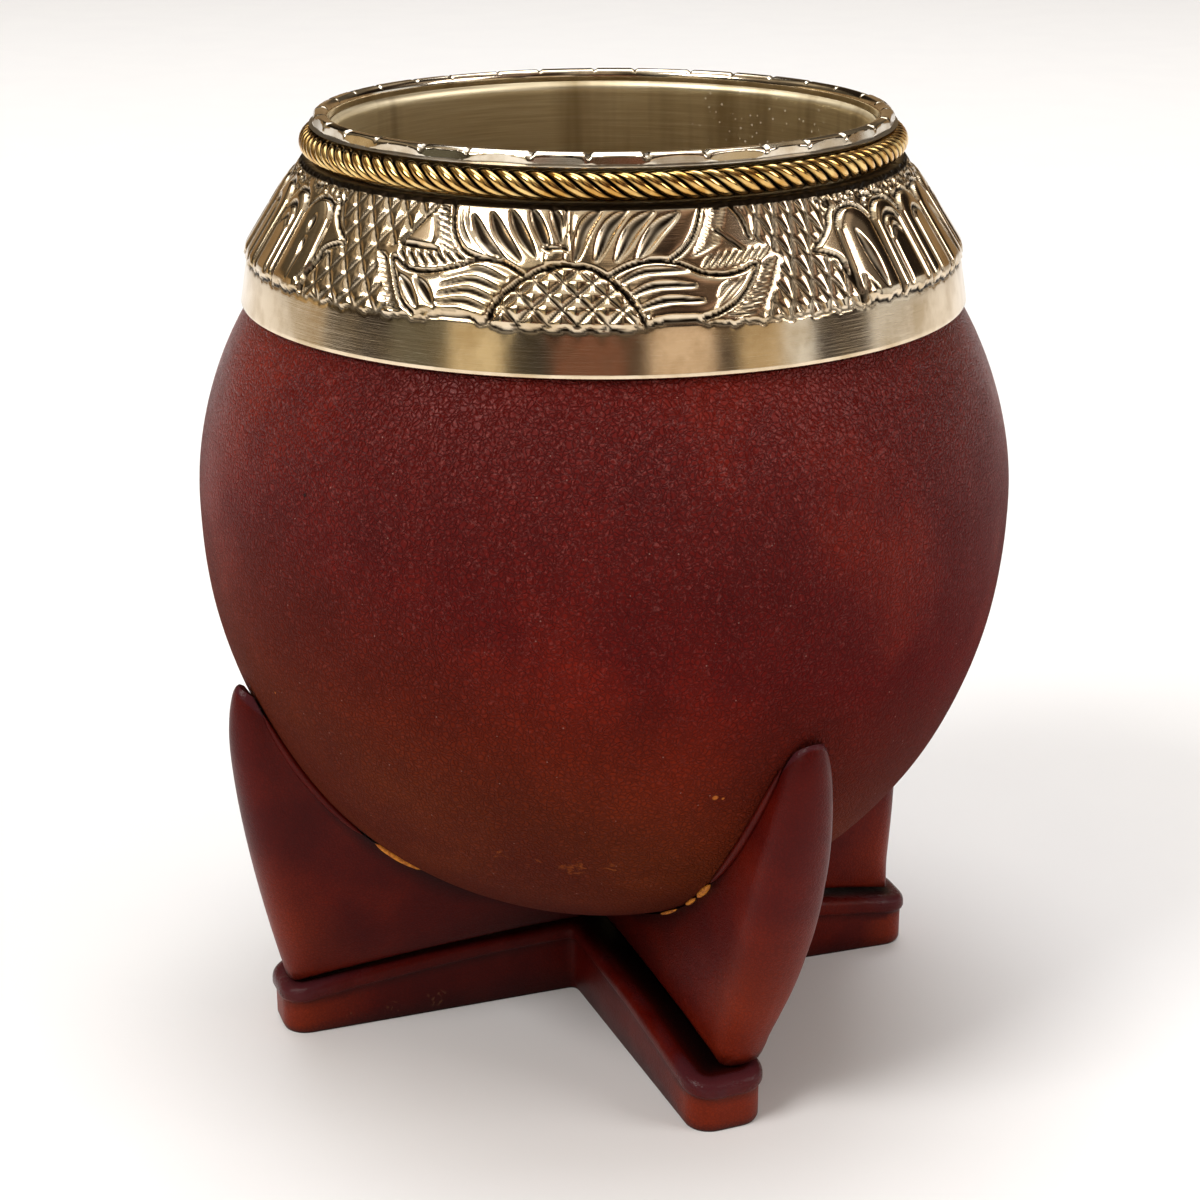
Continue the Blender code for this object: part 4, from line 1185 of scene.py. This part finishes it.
def cross_ring(inset, drop):
    """Outline of the cross, drawn in by inset; drop is below the top, or None on the ground."""
    names = list(ARMS)
    ring = []
    for index, name in enumerate(names):
        azimuth, shift, length = ARMS[name]
        crotch = crossing(arm_side(names[index - 1], 1.0, inset), arm_side(name, -1.0, inset))
        before = polar(CROTCH_ROUND, ARMS[names[index - 1]][0])
        after = polar(CROTCH_ROUND, azimuth)
        for share in (0.0, 0.25, 0.5, 0.75, 1.0):
            ring.append(crotch + before * (1.0 - share) ** 2 + after * share ** 2)
        half = ARM_HALF - inset
        corner = max(0.00005, ARM_CORNER - inset)
        end = length - inset
        for station in STATIONS:
            ring.append(polar(end * station, azimuth, shift - half))
        for side, turns in ((-1.0, CORNER_TURNS), (1.0, CORNER_TURNS[::-1])):
            for turn_angle in turns:
                angle = math.radians(turn_angle)
                ring.append(polar(end - corner + corner * math.sin(angle), azimuth,
                                  shift + side * (half - corner + corner * math.cos(angle))))
        for station in STATIONS[::-1]:
            ring.append(polar(end * station, azimuth, shift + half))
    for point in ring:
        point.z = 0.0 if drop is None else cross_top(math.hypot(point.x, point.y)) - drop
    return ring


def loft(rings, marks):
    """A closed body whose first ring is a face and whose every next ring is an extrusion of it.

    The marks are each ring's values of painted shade and of wear with painted sheen.
    """
    made = bmesh.new()
    layers = [made.verts.layers.float.new(name) for name in ("painted_shade", "wear_and_sheen")]
    face = made.faces.new([made.verts.new(point) for point in rings[0]])
    for vert in face.verts:
        for layer, value in zip(layers, marks[0]):
            vert[layer] = value
    first = face
    for before, after, mark_values in zip(rings, rings[1:], marks[1:]):
        grown = bmesh.ops.extrude_face_region(made, geom=[face])["geom"]
        if face is not first:
            made.faces.remove(face)
        face = next(item for item in grown if isinstance(item, bmesh.types.BMFace))
        for vert in face.verts:
            nearest_point = min(range(len(before)),
                                key=lambda index: (before[index] - vert.co).length_squared)
            vert.co = after[nearest_point]
            for layer, value in zip(layers, mark_values):
                vert[layer] = value
    return made


# The foot on the floor is painted dark as shade.
rings = [cross_ring(LIP_OVERHANG + 0.0002, None)]
marks = [(1.0, 0.0)]
ground = cross_ring(LIP_OVERHANG, None)
for point in ground:
    point.z = 0.0004
rings.append(ground)
marks.append((0.5, 0.0))
for inset, drop, shade_here, wear_and_sheen_here in (
        (LIP_OVERHANG, LIP_HEIGHT + 0.0032, 0.05, 0.0), (LIP_OVERHANG, LIP_HEIGHT + 0.0012, 0.0, 0.0),
        (LIP_OVERHANG, LIP_HEIGHT + 0.0003, 0.35, 0.0), (LIP_OVERHANG * 0.9, LIP_HEIGHT, 0.45, 0.1),
        (0.00012, LIP_HEIGHT - 0.0002, 0.1, 0.4), (0.0, LIP_HEIGHT - 0.0005, 0.0, 0.5),
        (0.0, LIP_ROUND, 0.0, 0.6)):
    rings.append(cross_ring(inset, drop))
    marks.append((shade_here, wear_and_sheen_here))
for angle in (22.5, 45.0, 67.5, 90.0):
    turned = math.radians(angle)
    rings.append(cross_ring(LIP_ROUND * (1.0 - math.cos(turned)), LIP_ROUND * (1.0 - math.sin(turned))))
    marks.append((0.0, 0.6 + angle / 225.0))
# Inside the lip the top is painted dark as shade, where the fins and the gourd shade it.
for inset, shade_here, wear_and_sheen_here in ((0.0014, 0.15, 1.0), (0.0020, 0.75, 0.4), (0.0028, 0.95, 0.0),
                                      (0.0038, 1.0, 0.0), (0.0045, 1.0, 0.0)):
    rings.append(cross_ring(inset, 0.0))
    marks.append((shade_here, wear_and_sheen_here))
builder = loft(rings, marks)
roughen(builder, 0.00010, 0.0035, lambda point: point.z > 0.004)
top = max(builder.faces, key=lambda face: face.calc_center_median().z)
bmesh.ops.poke(builder, faces=[top])["verts"][0].co.z = cross_top(0.0)
painted_highlight_layer = builder.verts.layers.float.new("painted_highlight")
wear_and_sheen_layer = builder.verts.layers.float["wear_and_sheen"]
for vert in builder.verts:
    outward = min(1.0, max(0.0, (math.hypot(vert.co.x, vert.co.y) - ARM_END_START) / ARM_END_FADE))
    # Painted highlight on the walls of the arm ends, which face the light.
    vert[painted_highlight_layer] = 0.60 * outward if vert.co.z < cross_top(0.04) - LIP_HEIGHT else 0.0
    # The lips along the arms get less of the purple sheen and the lit ends get more: painted light.
    vert[wear_and_sheen_layer] *= 0.45 + 0.55 * outward
cross = finish_piece("leather_cross", builder, red_brown_cowhide, ["base_cross"], 50.0)

# %% [markdown]
# Each fin is a leather-covered wedge that cradles the gourd. One face of it is a grid, bent to the fin's
# outline and to the gourd; extruding it across gives the other face. The thickness falls to nothing towards
# the outer edge along a quarter circle, which rounds that edge as wet leather does.

# %% The fins
FIN_START = 0.0046
FIN_NOSE = 0.0070
FIN_BELLY_SHARE = 0.7
FIN_FOOT_HALF = 0.0027
FIN_TIP_HALF = 0.0022
FIN_SWELL = 0.0021
FIN_LEAN_EARLY = 0.6
FIN_EDGE_ROUND = 0.0036
FIN_FOOT_ROUND = 0.0012
FIN_TIP_REACH = 0.0009
FIN_ROWS_FOOT = 14
FIN_ROWS_EDGE = 34
FIN_COLUMNS = [0.0, 0.15, 0.3, 0.45, 0.58, 0.7, 0.8, 0.87, 0.92, 0.955, 0.98, 0.993, 1.0]
FINS = {
    "right": (17.8, 0.0020, 0.0360, 0.0400, 0.0387, 1.5),
    "back": (109.0, 0.0040, 0.0463, 0.0466, 0.0404, 1.5),
    "left": (197.8, 0.0048, 0.0470, 0.0471, 0.0412, 1.5),
    "front": (293.9, 0.0039, 0.0491, 0.0475, 0.0385, 1.9),
}


def fin_edge(name, share):
    """Outer boundary of a fin: out along the cross to the foot, then up to the tip."""
    _, _, tip_z, belly_radius, foot_radius, fullness = FINS[name]
    foot_share = FIN_ROWS_FOOT / (FIN_ROWS_FOOT + FIN_ROWS_EDGE)
    if share <= foot_share:
        radius = FIN_START + (foot_radius - FIN_START) * share / foot_share
        return radius, cross_top(radius) + GAP
    climb = (share - foot_share) / (1.0 - foot_share)
    foot_z = cross_top(foot_radius) + GAP
    belly_z = tip_z - FIN_NOSE
    if climb <= FIN_BELLY_SHARE:
        height = foot_z + (belly_z - foot_z) * climb / FIN_BELLY_SHARE
        lag = max(0.0, (belly_z - height) / (belly_z - foot_z))
        return belly_radius - (belly_radius - foot_radius) * lag ** fullness, height
    nose = math.radians(90.0 * (climb - FIN_BELLY_SHARE) / (1.0 - FIN_BELLY_SHARE))
    tip_radius = gourd_radius(tip_z) + FIN_TIP_REACH
    return (tip_radius + (belly_radius - tip_radius) * math.cos(nose), belly_z + FIN_NOSE * math.sin(nose))


def fin_inner_height(share, tip_z):
    """Height of the fin's inner boundary, which climbs the gourd in equal steps of its angle."""
    start = math.acos(FIN_START / (GOURD_RADIUS + GAP))
    drop = (GOURD_WAIST_Z - tip_z + FIN_TIP_REACH) / (GOURD_DROP + GAP)
    last = math.asin(drop ** (GOURD_FULLNESS / 2.0))
    return gourd_height(-start - (last - start) * share, -GAP)


def fin_half(climb):
    """Half the fin's thickness, by how far up the fin it is."""
    return FIN_FOOT_HALF + (FIN_TIP_HALF - FIN_FOOT_HALF) * climb + 4.0 * FIN_SWELL * climb * (1.0 - climb)


def fin_point(name, share, column, side):
    """Point on one face of a fin: share runs up the fin, column from the gourd out to the edge."""
    azimuth, lean, tip_z, _, foot_radius, _ = FINS[name]
    edge_radius, edge_z = fin_edge(name, share)
    inner_z = fin_inner_height(share, tip_z)
    height = inner_z + (edge_z - inner_z) * column
    foot_z = cross_top(foot_radius) + GAP
    climb = min(1.0, max(0.0, (height - foot_z) / (tip_z - foot_z)))
    risen = min(1.0, max(0.0, (edge_z - foot_z) / FIN_EDGE_ROUND))
    round_here = FIN_FOOT_ROUND + (FIN_EDGE_ROUND - FIN_FOOT_ROUND) * risen
    from_edge = (1.0 - column) * math.hypot(edge_radius - gourd_radius(inner_z), edge_z - inner_z)
    near_edge = max(0.0, 1.0 - from_edge / round_here)
    thin = max(0.06, math.sqrt(1.0 - near_edge * near_edge))
    sideways = lean * climb ** FIN_LEAN_EARLY + side * fin_half(climb) * thin
    surface = gourd_radius(inner_z, -GAP)
    inner_radius = math.sqrt(max(FIN_START ** 2, surface ** 2 - sideways ** 2))
    return polar(inner_radius + (edge_radius - inner_radius) * column, azimuth, sideways, height)


def fin_marks(share, column):
    """Painted shade, wear with painted sheen, and painted highlight at a place on a fin's face."""
    foot_share = FIN_ROWS_FOOT / (FIN_ROWS_FOOT + FIN_ROWS_EDGE)
    # Painted shade along the join with the gourd, along the foot and towards the middle under the gourd.
    contact = max(0.0, 1.0 - column / 0.10)
    low = max(0.0, 1.0 - (1.0 - column) / 0.12) if share <= foot_share + 0.01 else 0.0
    inward = max(0.0, 1.0 - share / (0.9 * foot_share))
    tip = min(1.0, max(0.0, (share - 0.935) / 0.03))
    climb = (share - foot_share) / (1.0 - foot_share)
    # Painted highlight on the low outer part of the fin.
    highlight_here = max(0.0, 1.0 - abs(climb - 0.16) / 0.30) * min(1.0, max(0.0, (column - 0.60) / 0.3))
    return min(1.0, 0.8 * contact + 0.95 * low + 0.7 * inward), tip, 0.55 * highlight_here


def fin_builder(name):
    """A grid for one face of the fin, extruded across to the other face."""
    rows = FIN_ROWS_FOOT + FIN_ROWS_EDGE
    columns = len(FIN_COLUMNS) - 1
    made = bmesh.new()
    layers = [made.verts.layers.float.new(layer) for layer in ("painted_shade", "wear_and_sheen", "painted_highlight")]
    grid = bmesh.ops.create_grid(made, x_segments=rows, y_segments=columns, size=1.0)["verts"]
    spots = {}
    for vert in grid:
        share = round((vert.co.x + 1.0) / 2.0 * rows) / rows
        column = FIN_COLUMNS[round((vert.co.y + 1.0) / 2.0 * columns)]
        spots[(round(vert.co.x, 4), round(vert.co.y, 4))] = (share, column)
    grown = bmesh.ops.extrude_face_region(made, geom=list(made.faces))["geom"]
    far = {item for item in grown if isinstance(item, bmesh.types.BMVert)}
    for vert in made.verts:
        share, column = spots[(round(vert.co.x, 4), round(vert.co.y, 4))]
        vert.co = fin_point(name, share, column, 1.0 if vert in far else -1.0)
        for layer, value in zip(layers, fin_marks(share, column)):
            vert[layer] = value
    return made


for name in FINS:
    finish_piece("leather_fin_" + name, fin_builder(name), red_brown_cowhide,
                 ["fin_" + name], 60.0)

# %% [markdown]
# Where a fin meets the gourd, its leather is turned over a cord and glued, which leaves a thin roll along
# the upper part of the join. Lower down the glue let go in places, and slivers of raw orange hide show. Both
# are thin tubes that follow the join and taper to nothing at their ends, so a curve with a bevel does it.

# %% The rolls and the raw edges
ROLL_RADIUS = 0.00050
RAW_RADIUS = 0.00036
JOIN_POINTS = 14

raw_hide, tree, shader = start_material("raw_veg_tanned_hide", Roughness=0.7)
place = add(tree, "TexCoord", output="Object")
fibres = add(tree, "TexNoise", {"Vector": place, "Scale": 1.0 / (0.5 * MM), "Detail": 4.0})
tree.links.new(add(tree, "ValToRGB", {"Fac": fibres}, stops=((0.35, "#a8560c"), (0.6, "#dc8a20"))),
               shader.inputs["Base Color"])
bump = add(tree, "Bump", {"Height": fibres, "Strength": 0.6, "Distance": 0.05 * MM})
tree.links.new(bump, shader.inputs["Normal"])


def join_tube(name, fin, side, first, last, thickness, out, look, slot):
    """A tube along a fin's join with the gourd, from one share of the climb to another."""
    curve = bpy.data.curves.new(name, "CURVE")
    curve.dimensions = "3D"
    curve.bevel_depth = thickness
    curve.bevel_resolution = 3
    curve.use_fill_caps = True
    spline = curve.splines.new("POLY")
    spline.points.add(JOIN_POINTS - 1)
    azimuth = FINS[fin][0]
    for index, point in enumerate(spline.points):
        step = index / (JOIN_POINTS - 1)
        centre = fin_point(fin, first + (last - first) * step, 0.0, side)
        point.co = (*(centre + polar(0.0, azimuth, side * out)), 1.0)
        point.radius = max(0.08, math.sin(math.pi * step) ** 0.45)
    curve.materials.append(look)
    made = bpy.data.objects.new(name, curve)
    bpy.context.collection.objects.link(made)
    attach(made, "root")
    return made


ROLL_SHARES = (0.61, 0.965)
ROLL_OUT = 0.00025
ROLLS = (("left", 1.0), ("front", -1.0), ("right", -1.0), ("back", 1.0))
for name, side in ROLLS:
    join_tube("join_roll_" + name, name, side, *ROLL_SHARES, ROLL_RADIUS, ROLL_OUT, red_brown_cowhide,
              "stand_leather")
RAW_EDGES = (("left", 1.0, 0.44, 0.57, 1.1), ("front", -1.0, 0.53, 0.60, 1.2),
             ("front", -1.0, 0.47, 0.52, 0.8), ("front", -1.0, 0.33, 0.42, 0.6))
for index, (fin, side, first, last, size) in enumerate(RAW_EDGES):
    join_tube(f"raw_edge_{index}", fin, side, first, last, RAW_RADIUS * size, 0.00006, raw_hide, "leather")
print(len(ROLLS), "rolls,", len(RAW_EDGES), "raw edges")
